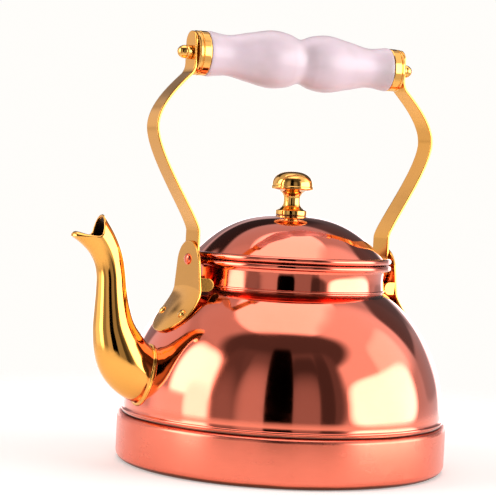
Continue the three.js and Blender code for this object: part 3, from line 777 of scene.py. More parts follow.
@dataclass
class Vessel:
    """Base pan, dome and neck collar."""

    band_radius: float = 100.0
    band_height: float = 28.8
    corner: float = 5.2
    shoulder: float = 2.8
    lip: float = 5.5
    sheet: float = 1.0
    seat: float = 0.3
    dome_radius: float = 97.0
    dome_spring: float = 36.0
    neck_foot: float = 106.6
    neck_radius: float = 58.5
    neck_height: float = 17.0
    hem_bead: float = 0.9
    hem_rise: float = 2.2
    hem_flare: float = 3.0
    foot_bead: float = 0.8
    rim_roll: float = 1.9
    rim_overhang: float = 1.9
    foot_ring: float = 0.5

    @property
    def dome_rise(self) -> float:
        """Height of the whole quarter ellipse."""
        narrowing = math.sqrt(1 - (self.neck_radius / self.dome_radius) ** 2)
        return (self.neck_foot - self.dome_spring) / narrowing

    @property
    def rim_centre(self) -> float:
        """Height of the middle of the neck's rolled rim."""
        return self.neck_foot + self.neck_height - self.rim_roll

    def dome_at(self, height: Array) -> Array:
        """Dome radius at a height: the quarter ellipse above its spring line."""
        share = np.maximum(height - self.dome_spring, 0) / self.dome_rise
        return self.dome_radius * np.sqrt(np.maximum(1 - share**2, 0))

    def base_profile(self) -> tuple[Array, Array]:
        """Outside and inside of the base pan: ringed underside, corner, band, shoulder, lip."""
        lip = self.dome_radius - self.sheet - self.seat
        flat = self.band_radius - self.corner
        ring = self.foot_ring
        underside = rounded(
            np.array(
                [
                    (0, 0), (flat - 16, 0), (flat - 15, ring),
                    (flat - 9, ring), (flat - 8, 0), (flat, 0),
                ]
            ),
            0.8,
        )
        outer = np.concatenate(
            [
                underside,
                arc((flat, self.corner), self.corner, (-90, 0), 20)[1:],
                arc(
                    (self.band_radius - self.shoulder, self.band_height - self.shoulder),
                    self.shoulder, (0, 90), 18,
                ),
            ]
        )
        lip_line = rounded(
            np.array(
                [
                    (lip + 0.6, self.band_height),
                    (lip, self.band_height),
                    (lip, self.band_height + self.lip),
                    (lip - self.sheet, self.band_height + self.lip),
                    (lip - self.sheet, self.band_height - 4),
                ]
            ),
            0.4,
        )
        inner = np.concatenate(
            [
                arc(
                    (flat, self.corner + self.sheet), self.corner - self.sheet, (0, -90), 16
                ),
                [(0, 2 * self.sheet)],
            ]
        )
        return thinned(np.concatenate([outer, lip_line])), thinned(inner)

    def dome_profile(self) -> tuple[Array, Array]:
        """Outside and inside of the dome: rolled hem, flare, quarter ellipse, mouth."""
        foot = self.band_height + self.seat
        hem = foot + self.hem_rise
        flare_top = hem + self.hem_flare / 2
        mouth = self.neck_radius + self.seat
        skirt = rounded(
            np.array(
                [
                    (self.dome_radius - self.sheet, foot + 1),
                    (self.dome_radius - self.sheet, foot),
                    (self.dome_radius + self.hem_bead / 2, foot),
                    (self.dome_radius + self.hem_bead / 2, hem - self.hem_bead),
                ]
            ),
            0.25,
        )
        bead = arc((self.dome_radius + self.hem_bead, hem), self.hem_bead, (-100, 100), 16)
        rise = (np.linspace(hem + self.hem_bead, flare_top, 12) - hem) / (flare_top - hem)
        flare = np.stack(
            [
                self.dome_radius + self.hem_bead / 2 * (1 - rise) ** 2,
                hem + (flare_top - hem) * rise,
            ],
            -1,
        )
        start = math.asin((flare_top + 0.6 - self.dome_spring) / self.dome_rise)
        stop = math.acos(mouth / self.dome_radius)
        angle = np.linspace(start, stop, 90)
        curve = self._ellipse(angle, 0)
        lining = self._ellipse(np.linspace(stop, 0, 40), self.sheet)
        return thinned(np.concatenate([skirt, bead, flare, curve])), lining

    def _ellipse(self, angle: Array, inset: float) -> Array:
        """Points of the quarter ellipse set in from its face along both axes."""
        return np.stack(
            [
                (self.dome_radius - inset) * np.cos(angle),
                self.dome_spring + (self.dome_rise - inset) * np.sin(angle),
            ],
            -1,
        )

    def collar_profile(self) -> Array:
        """Section of the collar: tail, foot bead, waisted wall and rolled rim."""
        bore = self.neck_radius - self.sheet
        bead = self.neck_foot + self.seat + self.foot_bead
        tail = self.neck_foot - 3
        wall_top = self.rim_centre - 1.5 * self.rim_roll
        rise = np.linspace(0, 1, 16)
        wall = np.stack(
            [
                self.neck_radius - 0.35 * np.sin(math.pi * rise),
                bead + self.foot_bead + (wall_top - bead - self.foot_bead) * rise,
            ],
            -1,
        )
        roll = arc(
            (self.neck_radius + self.rim_overhang, self.rim_centre), self.rim_roll, (-125, 110), 26
        )
        ends = rounded(
            np.array(
                [
                    (bore, self.rim_centre + self.rim_roll / 2),
                    (bore, tail),
                    (self.neck_radius, tail),
                    (self.neck_radius, bead - self.foot_bead),
                ]
            ),
            0.3,
        )
        beads = arc((self.neck_radius, bead), self.foot_bead, (-80, 80), 14)
        return thinned(np.concatenate([ends, beads, wall, roll]))

    def build(self, shop: Workshop) -> None:
        """Makes the three pieces of the vessel."""
        base, dome = lined(*self.base_profile()), lined(*self.dome_profile())
        shop.finish("base_pan", [base], "kettle", Slot.SATIN_COPPER)
        shop.finish("dome_shell", [dome], "kettle", Slot.POLISHED_COPPER)
        shop.finish("neck_collar", [turned(self.collar_profile())], "kettle", Slot.POLISHED_COPPER)


@dataclass
class Lid:
    """Domed lid with its locating ring, knob, washer and screw."""

    vessel: Vessel
    rise: float = 24.0
    fullness: float = 2.65
    shelf: float = 1.3
    ring_clearance: float = 0.6
    ring_sheet: float = 0.9
    ring_depth: float = 10.0
    knob_foot: float = 9.6
    knob_stem: float = 4.95
    knob_rim: float = 12.9
    knob_cap: float = 12.5
    knob_height: float = 26.4

    @property
    def bore(self) -> float:
        """Radius at which the crown meets the rolled edge."""
        return self.vessel.neck_radius - self.vessel.sheet

    @property
    def edge_height(self) -> float:
        """Height of the middle of the lid's rolled edge."""
        return self.vessel.rim_centre + 2 * self.vessel.rim_roll + self.vessel.seat

    @property
    def crown(self) -> float:
        """Height of the crown's top."""
        return self.edge_height + self.shelf + self.rise

    def lid_at(self, radius: Array) -> Array:
        """Crown height at a radius: one less a power of the share of the radius."""
        share = np.minimum(np.asarray(radius) / self.bore, 1)
        return self.edge_height + self.shelf + self.rise * (1 - share**self.fullness)

    def shell_profile(self) -> Array:
        """Section of the lid: crown, small step, rolled edge and lining."""
        radius = self.bore * np.sin(np.linspace(0, math.pi / 2, 90))
        crown = np.stack([radius, self.lid_at(radius)], -1)
        roll = self.vessel.rim_roll
        edge = arc(
            (self.vessel.neck_radius + self.vessel.rim_overhang, self.edge_height),
            roll, (118, -90), 26,
        )
        tuck = [(self.vessel.neck_radius + self.vessel.rim_overhang - roll, self.edge_height)]
        lining = crown[::-3] - [0, 1.25 * self.vessel.sheet]
        lining = lining[lining[:, 0] < self.bore - 0.8]
        lining = np.concatenate([lining, [(0.0, self.crown - 1.25 * self.vessel.sheet)]])
        return thinned(np.concatenate([crown, edge, tuck, lining]))

    def ring_profile(self) -> Array:
        """Section of the plain locating ring, its corners rounded a little."""
        outer = self.bore - self.ring_clearance
        inner = outer - self.ring_sheet
        top = float(self.lid_at(outer)) - 1.9
        bottom = self.vessel.rim_centre + self.vessel.rim_roll - self.ring_depth
        return rounded(
            np.array([(inner, bottom), (outer, bottom), (outer, top), (inner, top)]),
            0.4, closed=True,
        )

    def knob_profile(self) -> Array:
        """Section of the turned knob: foot disc, waisted stem, flared rim and low cap."""
        stem = smooth_line(
            np.array(
                [
                    (7.4, 3.5), (5.7, 5.2), (self.knob_stem, 8.6),
                    (5.3, 11.6), (7.0, 13.9), (10.4, 14.9),
                ]
            ),
            32,
        )
        foot = rounded(
            np.array(
                [
                    (0, 0), (self.knob_foot - 2, 0), (self.knob_foot, -0.45),
                    (self.knob_foot, 2.5), (8.4, 3.1), (7.4, 3.5),
                ]
            ),
            0.3,
        )
        rim = rounded(
            np.array(
                [
                    (10.4, 14.9), (self.knob_rim - 0.5, 15.4), (self.knob_rim, 16.1),
                    (self.knob_rim, 16.9), (self.knob_cap, 17.4), (self.knob_cap, 18.2),
                ]
            ),
            0.5,
        )
        turn = np.radians(np.linspace(0, 90, 30))
        cap = np.stack(
            [
                self.knob_cap * np.cos(turn) ** 0.8,
                18.2 + (self.knob_height - 18.2) * np.sin(turn),
            ],
            -1,
        )
        profile = thinned(np.concatenate([foot, stem[1:-1], rim, cap[1:]]))
        return profile + [0, self.crown + self.vessel.seat]

    def build(self, shop: Workshop) -> None:
        """Makes the five pieces of the lid."""
        shop.finish("lid_shell", [turned(self.shell_profile())], "lid", Slot.POLISHED_COPPER)
        shop.finish("lid_locating_ring", [turned(self.ring_profile())], "lid", Slot.POLISHED_COPPER)
        knob = turned(self.knob_profile(), 160)
        shop.finish("lid_knob", [knob], "lid", Slot.TURNED_BRASS)
        washer_top = self.crown - 1.3 - self.vessel.seat
        washer = rounded(
            np.array(
                [(2.3, washer_top - 0.8), (7, washer_top - 0.8), (7, washer_top), (2.3, washer_top)]
            ),
            0.15, closed=True,
        )
        shop.finish("knob_washer", [turned(washer, SMALL_SEGMENTS)], "lid", Slot.TURNED_BRASS)
        seat = washer_top - 0.8 - self.vessel.seat
        screw = rounded(
            np.array(
                [
                    (0, seat - 2.4), (2.4, seat - 2.4), (4, seat - 1), (4, seat),
                    (2, seat), (2, seat + 7), (0, seat + 7),
                ]
            ),
            0.25,
        )
        shop.finish("knob_screw", [turned(screw, SMALL_SEGMENTS)], "lid", Slot.STEEL)


# ------------------------------------------------------------------ spout


@dataclass
class Spout:
    """Swan-neck spout: an oval tube with a beak mouth and a flange on the dome."""

    vessel: Vessel
    wall: float = 1.1
    stations: tuple[tuple[float, float, float, float], ...] = (
        (-20, 47.5, 16.4, 0.9),
        (-8, 52, 16.4, 0.9),
        (1.5, 56.6, 16.7, 0.9),
        (8, 62.6, 16.4, 0.92),
        (12.8, 71, 15, 0.94),
        (16.3, 81, 12.6, 0.97),
        (18, 92, 10.5, 1),
        (18.9, 103, 9.1, 1),
        (19.7, 113, 8.5, 1),
        (21.8, 122, 8.6, 1),
        (26.2, 130.5, 9.2, 0.98),
        (31.6, 137, 10.2, 0.94),
        (37.8, 143, 11.6, 0.9),
        (44.5, 149, 13.2, 0.86),
    )
    notch: tuple[float, float] = (-126.0, 134.3)
    hood_lean: float = 0.18
    corner_blend: float = 2.6
    flange: float = 1.6
    flange_sheet: float = 0.6
    mouth_run: float = 14.0
    mouth_wall: tuple[float, float] = (0.7, 1.3)
    rows: int = 220
    columns: int = 192
    _line: Array = field(init=False, repr=False)

    def __post_init__(self) -> None:
        """Works out the smooth centre line with its radius and depth."""
        knots = np.array(self.stations, float)
        knots[:, 0] = -self.vessel.dome_radius - knots[:, 0]
        self._line = smooth_line(knots, 900)

    def bore(self) -> Array:
        """Rings of the inner face: even wall, thickening to the mouth, most at the hood.

        The wall grows with the square of the share of the last run before the mouth,
        by one thickness all round and by a second times the cosine on the hood's side.
        """
        steps = np.linalg.norm(np.diff(self._line[:, :2], axis=0), axis=1)
        run = np.concatenate([[0.0], np.cumsum(steps)])
        mouth = run[np.argmax(self._line[:, 1] > self.notch[1])]
        near = np.clip(1 - (mouth - run) / self.mouth_run, 0, 1)[:, None] ** 2
        angle = np.linspace(0, 2 * math.pi, self.columns, endpoint=False)
        even, hood = self.mouth_wall
        return self.tube(-self.wall - near * (even + hood * np.maximum(np.cos(angle), -0.5)))

    def tube(self, grow: float | Array) -> Array:
        """Rings of the oval tube along its whole centre line.

        A ring point is the centre, plus the radius times the cosine along the normal in
        the XZ plane, plus the radius times the depth and the sine along Y.

        Args:
            grow: added to the radius, one number or one for each point.

        Returns:
            Points (stations, columns, 3).
        """
        centre, radius, depth = self._line[:, :2], self._line[:, 2:3] + grow, self._line[:, 3:4]
        run = np.gradient(centre, axis=0)
        run = run / np.linalg.norm(run, axis=1)[:, None]
        angle = np.linspace(0, 2 * math.pi, self.columns, endpoint=False)
        across = radius * np.cos(angle)
        return np.stack(
            [
                centre[:, :1] - run[:, 1:] * across,
                radius * depth * np.sin(angle),
                centre[:, 1:] + run[:, :1] * across,
            ],
            -1,
        )

    def _pick(self, tube: Array, place: Array) -> Array:
        """Points of a tube at a fractional ring number for each column."""
        low = np.clip(np.floor(place).astype(int), 0, len(tube) - 2)
        share = (place - low)[..., None]
        column = np.broadcast_to(np.arange(tube.shape[1]), place.shape)
        return tube[low, column] * (1 - share) + tube[low + 1, column] * share

    def _leaves_dome(self, tube: Array, offset: float) -> Array:
        """Ring number at which each column comes out of the dome's face plus an offset."""
        reach = np.hypot(tube[..., 0], tube[..., 1])
        outside = reach - (self.vessel.dome_at(tube[..., 2]) + offset)
        inside = outside < 0
        last = len(tube) - 1 - np.argmax(inside[::-1], axis=0)
        column = np.arange(tube.shape[1])
        before, after = outside[last, column], outside[last + 1, column]
        return last + before / (before - after)

    def _reaches_mouth(self, tube: Array) -> Array:
        """Ring number at which each column runs into the mouth's cut.

        The cut takes away what is above the lower lip's level and in front of the
        leaning hood; the two limits blend round the corner between them.
        """
        above = tube[..., 2] - self.notch[1]
        ahead = self.notch[0] + self.hood_lean * above - tube[..., 0]
        near = np.maximum(self.corner_blend - np.abs(above - ahead), 0) / self.corner_blend
        taken = np.minimum(above, ahead) - near**2 * self.corner_blend / 4 > 0
        depth = np.minimum(above, ahead) - near**2 * self.corner_blend / 4
        first = np.argmax(taken, axis=0)
        column = np.arange(tube.shape[1])
        before, after = depth[first - 1, column], depth[first, column]
        return first - 1 + before / (before - after)

    def skin(self) -> Skin:
        """The whole spout as one closed surface from flange to mouth and back inside."""
        outer, inner = self.tube(0), self.bore()
        top = self.flange_sheet
        seam = [
            (self.flange - 0.2, 0.02), (self.flange, 0.15), (self.flange, 0.45),
            (self.flange - 0.15, 0.68), (self.flange - 0.45, top), (0.75, top),
            (0.4, top + 0.12), (0.15, top + 0.45), (0.03, top + 0.95),
        ]
        foot = []
        for grow, offset in seam:
            tube = self.tube(grow)
            foot.append(self._pick(tube, self._leaves_dome(tube, offset)))
        start = self._leaves_dome(outer, top + 1.4)
        stop = self._reaches_mouth(outer) - 1.6
        share = np.linspace(0, 1, self.rows)[:, None]
        climb = self._pick(outer, start + (stop - start) * share)
        inner_stop = self._reaches_mouth(inner) - 1.6
        inner_start = self._leaves_dome(inner, 0.1)
        fall = self._pick(inner, inner_stop + (inner_start - inner_stop) * share[::2])
        rim = self._rim(climb, fall)
        skin = np.concatenate([foot, climb, rim, fall])
        return Skin(skin, close_rows=True, lined_from=len(skin) - len(fall) + 1)

    def _rim(self, climb: Array, fall: Array) -> Array:
        """Half-round lip between the ends of the outer and the inner face."""
        out, back = climb[-1], fall[0]
        middle, half = (out + back) / 2, (out - back) / 2
        ahead = out - climb[-3]
        across = half / np.linalg.norm(half, axis=1)[:, None]
        ahead = ahead - (ahead * across).sum(1)[:, None] * across
        ahead = ahead / np.linalg.norm(ahead, axis=1)[:, None]
        turn = np.radians(np.linspace(0, 180, 10))[1:-1, None, None]
        swell = np.linalg.norm(half, axis=1)[:, None]
        return middle + half * np.cos(turn) + ahead * swell * np.sin(turn)

    def build(self, shop: Workshop) -> None:
        """Makes the spout."""
        shop.finish("spout", [self.skin()], "kettle", Slot.SPOUT_BRASS)


# ------------------------------------------------------------------ brackets


def rivet_profile(shank: float, head: float, tail_rise: float, top: float, bottom: float) -> Array:
    """Section of a rivet: low domed tail, shank and fuller domed head."""
    turn = np.radians(np.linspace(0, 90, 12))
    tail = np.stack([head * 0.95 * np.cos(turn), bottom - tail_rise * np.sin(turn)], -1)
    cap = np.stack([head * np.cos(turn), top + 0.55 * head * np.sin(turn)], -1)
    stem = rounded(
        np.array(
            [(head * 0.95, bottom), (shank, bottom), (shank, top), (head, top)]
        ),
        0.15,
    )
    return thinned(np.concatenate([tail[::-1], stem, cap]))


@dataclass
class Bracket:
    """Sheet-brass bracket on one side of the neck, with ears, rivets and washer."""

    vessel: Vessel
    side: int
    word: str
    sheet: float = 1.5
    standoff: float = 8.0
    top_half: float = 12.6
    foot_half: float = 20.5
    above_pivot: float = 11.0
    foot_drop: float = 27.0
    blend: float = 9.0
    pivot_height: float = 122.7
    ear_half: float = 4.0
    ear_middle: float = 108.5
    ear_length: float = 8.0
    rivet_spread: float = 13.0
    rivet_drop: float = 16.2
    washer_sheet: float = 0.5
    ear_turn: float = 84.0

    @property
    def inner(self) -> float:
        """Distance of the upright plate's inner face from the kettle's axis."""
        return self.vessel.neck_radius + self.standoff

    @property
    def top(self) -> float:
        """Height of the plate's top."""
        return self.pivot_height + self.above_pivot

    @property
    def bottom(self) -> float:
        """Height of the foot's lowest edge."""
        return self.vessel.neck_foot - self.foot_drop

    def face(self, y: Array, z: Array) -> Array:
        """Distance of the inner face from the YZ plane.

        It is the larger of the upright plate's plane and the dome's face, with their
        meeting rounded by a parabola.
        """
        dome = self.vessel.dome_at(z) + self.vessel.seat
        dome = np.sqrt(np.maximum(dome**2 - y**2, 0))
        near = np.maximum(self.blend - np.abs(self.inner - dome), 0) / self.blend
        return np.maximum(self.inner, dome) + near**2 * self.blend / 4

    def place(self, y: Array, z: Array, lift: Array) -> Array:
        """Carries flat plate points to the bent plate, lifted along its normal."""
        step = 0.05
        slope_y = (self.face(y + step, z) - self.face(y - step, z)) / (2 * step)
        slope_z = (self.face(y, z + step) - self.face(y, z - step)) / (2 * step)
        normal = np.stack([np.ones_like(slope_y), -slope_y, -slope_z], -1)
        normal = normal / np.linalg.norm(normal, axis=-1)[..., None]
        spot = np.stack([self.face(y, z), y, z], -1) + normal * np.asarray(lift)[..., None]
        return spot * [self.side, 1, 1]

    def half_width(self, z: Array) -> Array:
        """Half width at a height: widening downwards, both ends rounded."""
        share = (self.top - z) / (self.top - self.bottom)
        straight = self.top_half + (self.foot_half - self.top_half) * np.minimum(share * 1.25, 1)
        to_top = np.clip((self.top - z) / self.top_half, 0, 1)
        to_bottom = np.clip((z - self.bottom) / (0.8 * self.foot_half), 0, 1)
        power = 2.2
        ends = (1 - (1 - to_top) ** power) * (1 - (1 - to_bottom) ** power)
        return straight * ends ** (1 / power)

    def plate_skin(self) -> Skin:
        """The bent plate with rounded edges."""
        turn = np.linspace(0, math.pi, 600)
        z = (self.top + self.bottom) / 2 - (self.top - self.bottom) / 2 * np.cos(turn)
        line = np.stack([self.half_width(z), z], -1)
        run = np.concatenate([[0], np.cumsum(np.linalg.norm(np.diff(line, axis=0), axis=1))])
        even = np.linspace(0, run[-1], 150)
        half = np.stack([np.interp(even, run, line[:, 0]), np.interp(even, run, line[:, 1])], -1)
        spine = (self.bottom + 0.7 * self.foot_half, self.top - 0.9 * self.top_half)
        return plate(half, spine, self.sheet, 0.45, self.place, rows=26)

    def ear_skin(self, edge: int) -> Skin:
        """A tab with a round end, bent inwards round the plate's edge.

        Its line runs outwards inside the plate, round a bend of a little less than a
        quarter turn, then inwards.
        """
        bend = 1.3
        sheet = self.sheet - 0.2
        outer = self.half_width(np.array(self.ear_middle + self.ear_half)) - sheet / 2 + 0.35
        level = self.inner + self.sheet / 2
        turn = np.radians(np.linspace(0, self.ear_turn, 10))
        corner = np.stack(
            [level - bend * (1 - np.cos(turn)), outer - bend * (1 - np.sin(turn))], -1
        )
        ahead = np.array([-math.sin(turn[-1]), math.cos(turn[-1])])
        reach = (corner[-1, 0] - self.inner + self.ear_length) / -ahead[0]
        line = np.concatenate(
            [
                np.stack(
                    [np.full(8, level), np.linspace(outer - bend - 7, outer - bend, 8)], -1
                )[:-1],
                corner,
                corner[-1] + ahead * np.linspace(0, reach, 12)[1:, None],
            ]
        )
        run = np.concatenate([[0], np.cumsum(np.linalg.norm(np.diff(line, axis=0), axis=1))])
        normal = np.gradient(line, run, axis=0)[:, ::-1] * [1, -1]

        def carry(across: Array, along: Array, lift: Array) -> Array:
            """Follows the tab's line, with its height across."""
            x, y = (np.interp(along, run, line[:, k]) for k in (0, 1))
            nx, ny = (np.interp(along, run, normal[:, k]) for k in (0, 1))
            off = lift - sheet / 2
            return np.stack(
                [self.side * (x + nx * off), edge * (y + ny * off), self.ear_middle + across], -1
            )

        half, spine = strip(self.ear_half, self.ear_half, run[-1], 40)
        return plate(half, spine, sheet, 0.4, carry, rows=8)

    def foot_rivet(self, edge: int) -> Skin:
        """A small domed rivet through the foot and the dome."""
        y, z = np.array(edge * self.rivet_spread), np.array(self.vessel.neck_foot - self.rivet_drop)
        spot = self.place(y, z, np.array(0.0))
        normal = self.place(y, z, np.array(1.0)) - spot
        shape = turned(rivet_profile(1.5, 2.7, 1.1, self.sheet + 0.05, -1.9), 48, closed=False)
        return towards(shape, spot, normal)

    def build(self, shop: Workshop) -> None:
        """Makes the plate with its ears, the rivets and the pivot washer."""
        skins = [self.plate_skin(), self.ear_skin(-1), self.ear_skin(1)]
        shop.finish(f"bracket_{self.word}", skins, "kettle", Slot.SHEET_BRASS)
        for edge, hand in ((-1, "right"), (1, "left")):
            name = f"foot_rivet_{self.word}_{hand}"
            shop.finish(name, [self.foot_rivet(edge)], "kettle", Slot.TURNED_BRASS)
        strap_inner = self.inner - self.vessel.seat - 1.6
        washer_outer = strap_inner - self.vessel.seat
        top, bottom = self.inner + self.sheet + 0.05, washer_outer - self.washer_sheet - 0.3
        rivet = turned(rivet_profile(2, 3.4, 0.6, top, bottom), 64, closed=False)
        shop.finish(
            f"pivot_rivet_{self.word}",
            [along_x(rivet, self.pivot_height, self.side)], "kettle", Slot.RIVET_COPPER,
        )
        ring = rounded(
            np.array(
                [
                    (2.3, washer_outer - self.washer_sheet),
                    (4.6, washer_outer - self.washer_sheet),
                    (4.6, washer_outer), (2.3, washer_outer),
                ]
            ),
            0.12, closed=True,
        )
        shop.finish(
            f"pivot_washer_{self.word}",
            [along_x(turned(ring, 64), self.pivot_height, self.side)], "handle", Slot.TURNED_BRASS,
        )


# ------------------------------------------------------------------ handle


@dataclass
class Handle:
    """Bail handle: two bowed straps, an oval porcelain grip and its fittings."""

    vessel: Vessel
    pivot_height: float = 122.7
    straight_end: float = 139.5
    strap_pivot: float = 65.4
    strap_sheet: float = 1.6
    strap_width: float = 17.5
    strap_top_width: float = 13.6
    strap_tail: float = 12.4
    bow: float = 94.4
    bow_height: float = 200.0
    strap_head: float = 12.8
    elbow_drop: float = 11.0
    strap_end: float = 71.9
    axis: float = GRIP_AXIS
    half_length: float = 62.9
    depth: float = 0.76
    tenon: float = 10.6
    ferrule_radius: float = 13.2
    ferrule: tuple[float, float] = (63.2, 70.8)
    nut_radius: float = 4.2
    nut: tuple[float, float] = (73.0, 81.0)

    def strap_line(self) -> Array:
        """Side view of a strap's middle, from tail to head.

        It is upright behind the bracket, a Bezier out to the bow, a Bezier back in, a
        short bend and an upright end beside the ferrule.
        """
        tail = self.pivot_height - self.strap_tail
        clear = self.straight_end
        elbow = self.axis - self.elbow_drop
        inset = self.bow - self.strap_end

        def mixed(low: float, high: float, share: float) -> float:
            """A height between two heights."""
            return low + (high - low) * share

        pieces = (
            ((self.strap_pivot, tail), (self.strap_pivot, clear)),
            (
                (self.strap_pivot, clear),
                (self.strap_pivot, mixed(clear, self.bow_height, 0.12)),
                (self.bow, mixed(clear, self.bow_height, 0.72)),
                (self.bow, self.bow_height),
            ),
            (
                (self.bow, self.bow_height),
                (self.bow, mixed(self.bow_height, elbow, 0.36)),
                (self.strap_end + 0.45 * inset, mixed(self.bow_height, elbow, 0.72)),
                (self.strap_end + 0.1 * inset, elbow - 0.08 * inset),
            ),
            (
                (self.strap_end + 0.1 * inset, elbow - 0.08 * inset),
                (self.strap_end, elbow + 0.05 * inset),
                (self.strap_end, elbow + 0.2 * inset),
            ),
            ((self.strap_end, elbow + 0.2 * inset), (self.strap_end, self.axis + self.strap_head)),
        )
        return thinned(np.concatenate([bezier(np.array(piece), 60) for piece in pieces]))

    def strap_skin(self, side: int) -> Skin:
        """One strap: a strip with round ends carried along its middle line."""
        line = self.strap_line()
        run = np.concatenate([[0], np.cumsum(np.linalg.norm(np.diff(line, axis=0), axis=1))])
        slope = np.gradient(line, run, axis=0)
        slope = slope / np.linalg.norm(slope, axis=1)[:, None]
        normal = slope[:, ::-1] * [1, -1]

        def carry(across: Array, along: Array, lift: Array) -> Array:
            """Follows the strap's line, with Y across."""
            x, z = (np.interp(along, run, line[:, k]) for k in (0, 1))
            nx, nz = (np.interp(along, run, normal[:, k]) for k in (0, 1))
            off = lift - self.strap_sheet / 2
            return np.stack([side * (x + nx * off), across, z + nz * off], -1)

        half, spine = strip(self.strap_width / 2, self.strap_top_width / 2, run[-1], 220)
        return plate(half, spine, self.strap_sheet, 0.45, carry, rows=10)

    def grip_profile(self) -> Array:
        """Section of the grip: waist, bulge, neck and flared end on each half."""
        length = self.half_length
        knots = np.array(
            [
                (0.0, 13.5), (0.13 * length, 16.1), (0.27 * length, 17.4),
                (0.55 * length, 14.75), (0.78 * length, 12.1), (0.97 * length, 13.4),
            ]
        )
        both = np.concatenate([knots[:0:-1] * [-1, 1], knots])
        curve = smooth_line(both, 220)[:, ::-1]
        end = rounded(
            np.array(
                [
                    (13.4, 0.97 * length), (13.3, length), (self.tenon, length),
                    (self.tenon, length + 5), (0, length + 5),
                ]
            ),
            0.7,
        )
        start = end[::-1] * [1, -1]
        return thinned(np.concatenate([start, curve[1:-1], end]))

    def ferrule_profile(self) -> Array:
        """Section of a ferrule: lip, plain band, groove and a small ring at the strap."""
        inner, outer = self.ferrule
        band = inner + 0.60 * (outer - inner)
        radius = self.ferrule_radius
        return rounded(
            np.array(
                [
                    (0, outer - 1.5), (self.tenon + 0.3, outer - 1.5), (self.tenon + 0.3, inner),
                    (radius - 0.2, inner), (radius, inner + 0.5), (radius, band),
                    (radius - 0.9, band + 0.35), (radius - 0.9, band + 0.95),
                    (radius - 0.1, band + 1.25), (radius - 0.1, outer - 0.7),
                    (radius - 0.7, outer), (0, outer),
                ]
            ),
            0.28,
        )

    def nut_profile(self) -> Array:
        """Section of a domed nut: round collar, neck line and acorn."""
        foot, tip = self.nut
        radius = self.nut_radius
        turn = np.radians(np.linspace(0, 90, 20))
        shoulder = foot + 3.4
        cap = np.stack(
            [(radius - 0.25) * np.cos(turn), shoulder + (tip - shoulder) * np.sin(turn)], -1
        )
        collar = rounded(
            np.array(
                [
                    (2.8, foot + 4.6), (2.8, foot), (radius, foot), (radius, foot + 2.3),
                    (radius - 0.6, foot + 2.7), (radius - 0.25, shoulder),
                ]
            ),
            0.25,
        )
        return thinned(np.concatenate([[(0, foot + 4.6)], collar, cap[1:]]))

    def build(self, shop: Workshop) -> None:
        """Makes the grip, the rod and each side's strap and fittings."""
        grip = along_x(turned(self.grip_profile(), 192, closed=False), self.axis, 1, self.depth)
        shop.finish("grip", [grip], "handle", Slot.PORCELAIN)
        reach = self.nut[0] + 4.2
        rod = rounded(np.array([(0, -reach), (2.5, -reach), (2.5, reach), (0, reach)]), 0.3)
        rod_skin = along_x(turned(rod, 48, closed=False), self.axis)
        shop.finish("tie_rod", [rod_skin], "handle", Slot.STEEL)
        cushion = rounded(
            np.array([(2.8, 68.2), (9.6, 68.2), (9.6, 68.7), (2.8, 68.7)]), 0.1, closed=True
        )
        for side, word in SIDES:
            shop.finish(f"handle_strap_{word}", [self.strap_skin(side)], "handle", Slot.SHEET_BRASS)
            ferrule = turned(self.ferrule_profile(), 160, closed=False)
            shop.finish(
                f"grip_ferrule_{word}",
                [along_x(ferrule, self.axis, side, self.depth)], "handle", Slot.TURNED_BRASS,
            )
            shop.finish(
                f"cushion_washer_{word}",
                [along_x(turned(cushion, SMALL_SEGMENTS), self.axis, side, self.depth)],
                "handle", Slot.CORK,
            )
            nut = turned(self.nut_profile(), 96, closed=False)
            shop.finish(
                f"acorn_nut_{word}", [along_x(nut, self.axis, side)], "handle", Slot.TURNED_BRASS
            )


def bezier(controls: Array, count: int) -> Array:
    """A Bezier curve of any order: each control point weighted by its Bernstein term."""
    order = len(controls) - 1
    share = np.linspace(0, 1, count)[:, None]
    weights = np.concatenate(
        [math.comb(order, k) * share**k * (1 - share) ** (order - k) for k in range(order + 1)], 1
    )
    return weights @ controls


# ------------------------------------------------------------------ studio


@dataclass(frozen=True)
class Window:
    """A soft patch of light or dark in the surroundings, in degrees from the camera's side.

    Its outline is a superellipse: |across / half_width| ** power + |up / half_height| **
    power = 1, and its edge is soft by a share of its size.
    """

    azimuth: float
    elevation: float
    half_width: float
    half_height: float
    radiance: float
    power: float = 4.0
    soft: float = 0.18

    def seen(self, azimuth: Sock, elevation: Sock) -> Sock:
        """1 inside the outline, falling to 0 across its soft edge."""
        across = (azimuth - self.azimuth).math("WRAP", 180.0, -180.0) * (1 / self.half_width)
        up = (elevation - self.elevation) * (1 / self.half_height)
        away = across.math("ABSOLUTE").math("POWER", self.power)
        away = away + up.math("ABSOLUTE").math("POWER", self.power)
        return 1 - away.step((1 - self.soft) ** self.power, (1 + self.soft) ** self.power)

    def over(self, light: Sock | float, azimuth: Sock, elevation: Sock) -> Sock:
        """Lays the patch over the light that is already there."""
        seen = self.seen(azimuth, elevation)
        return (1 - seen) * light + seen * self.radiance


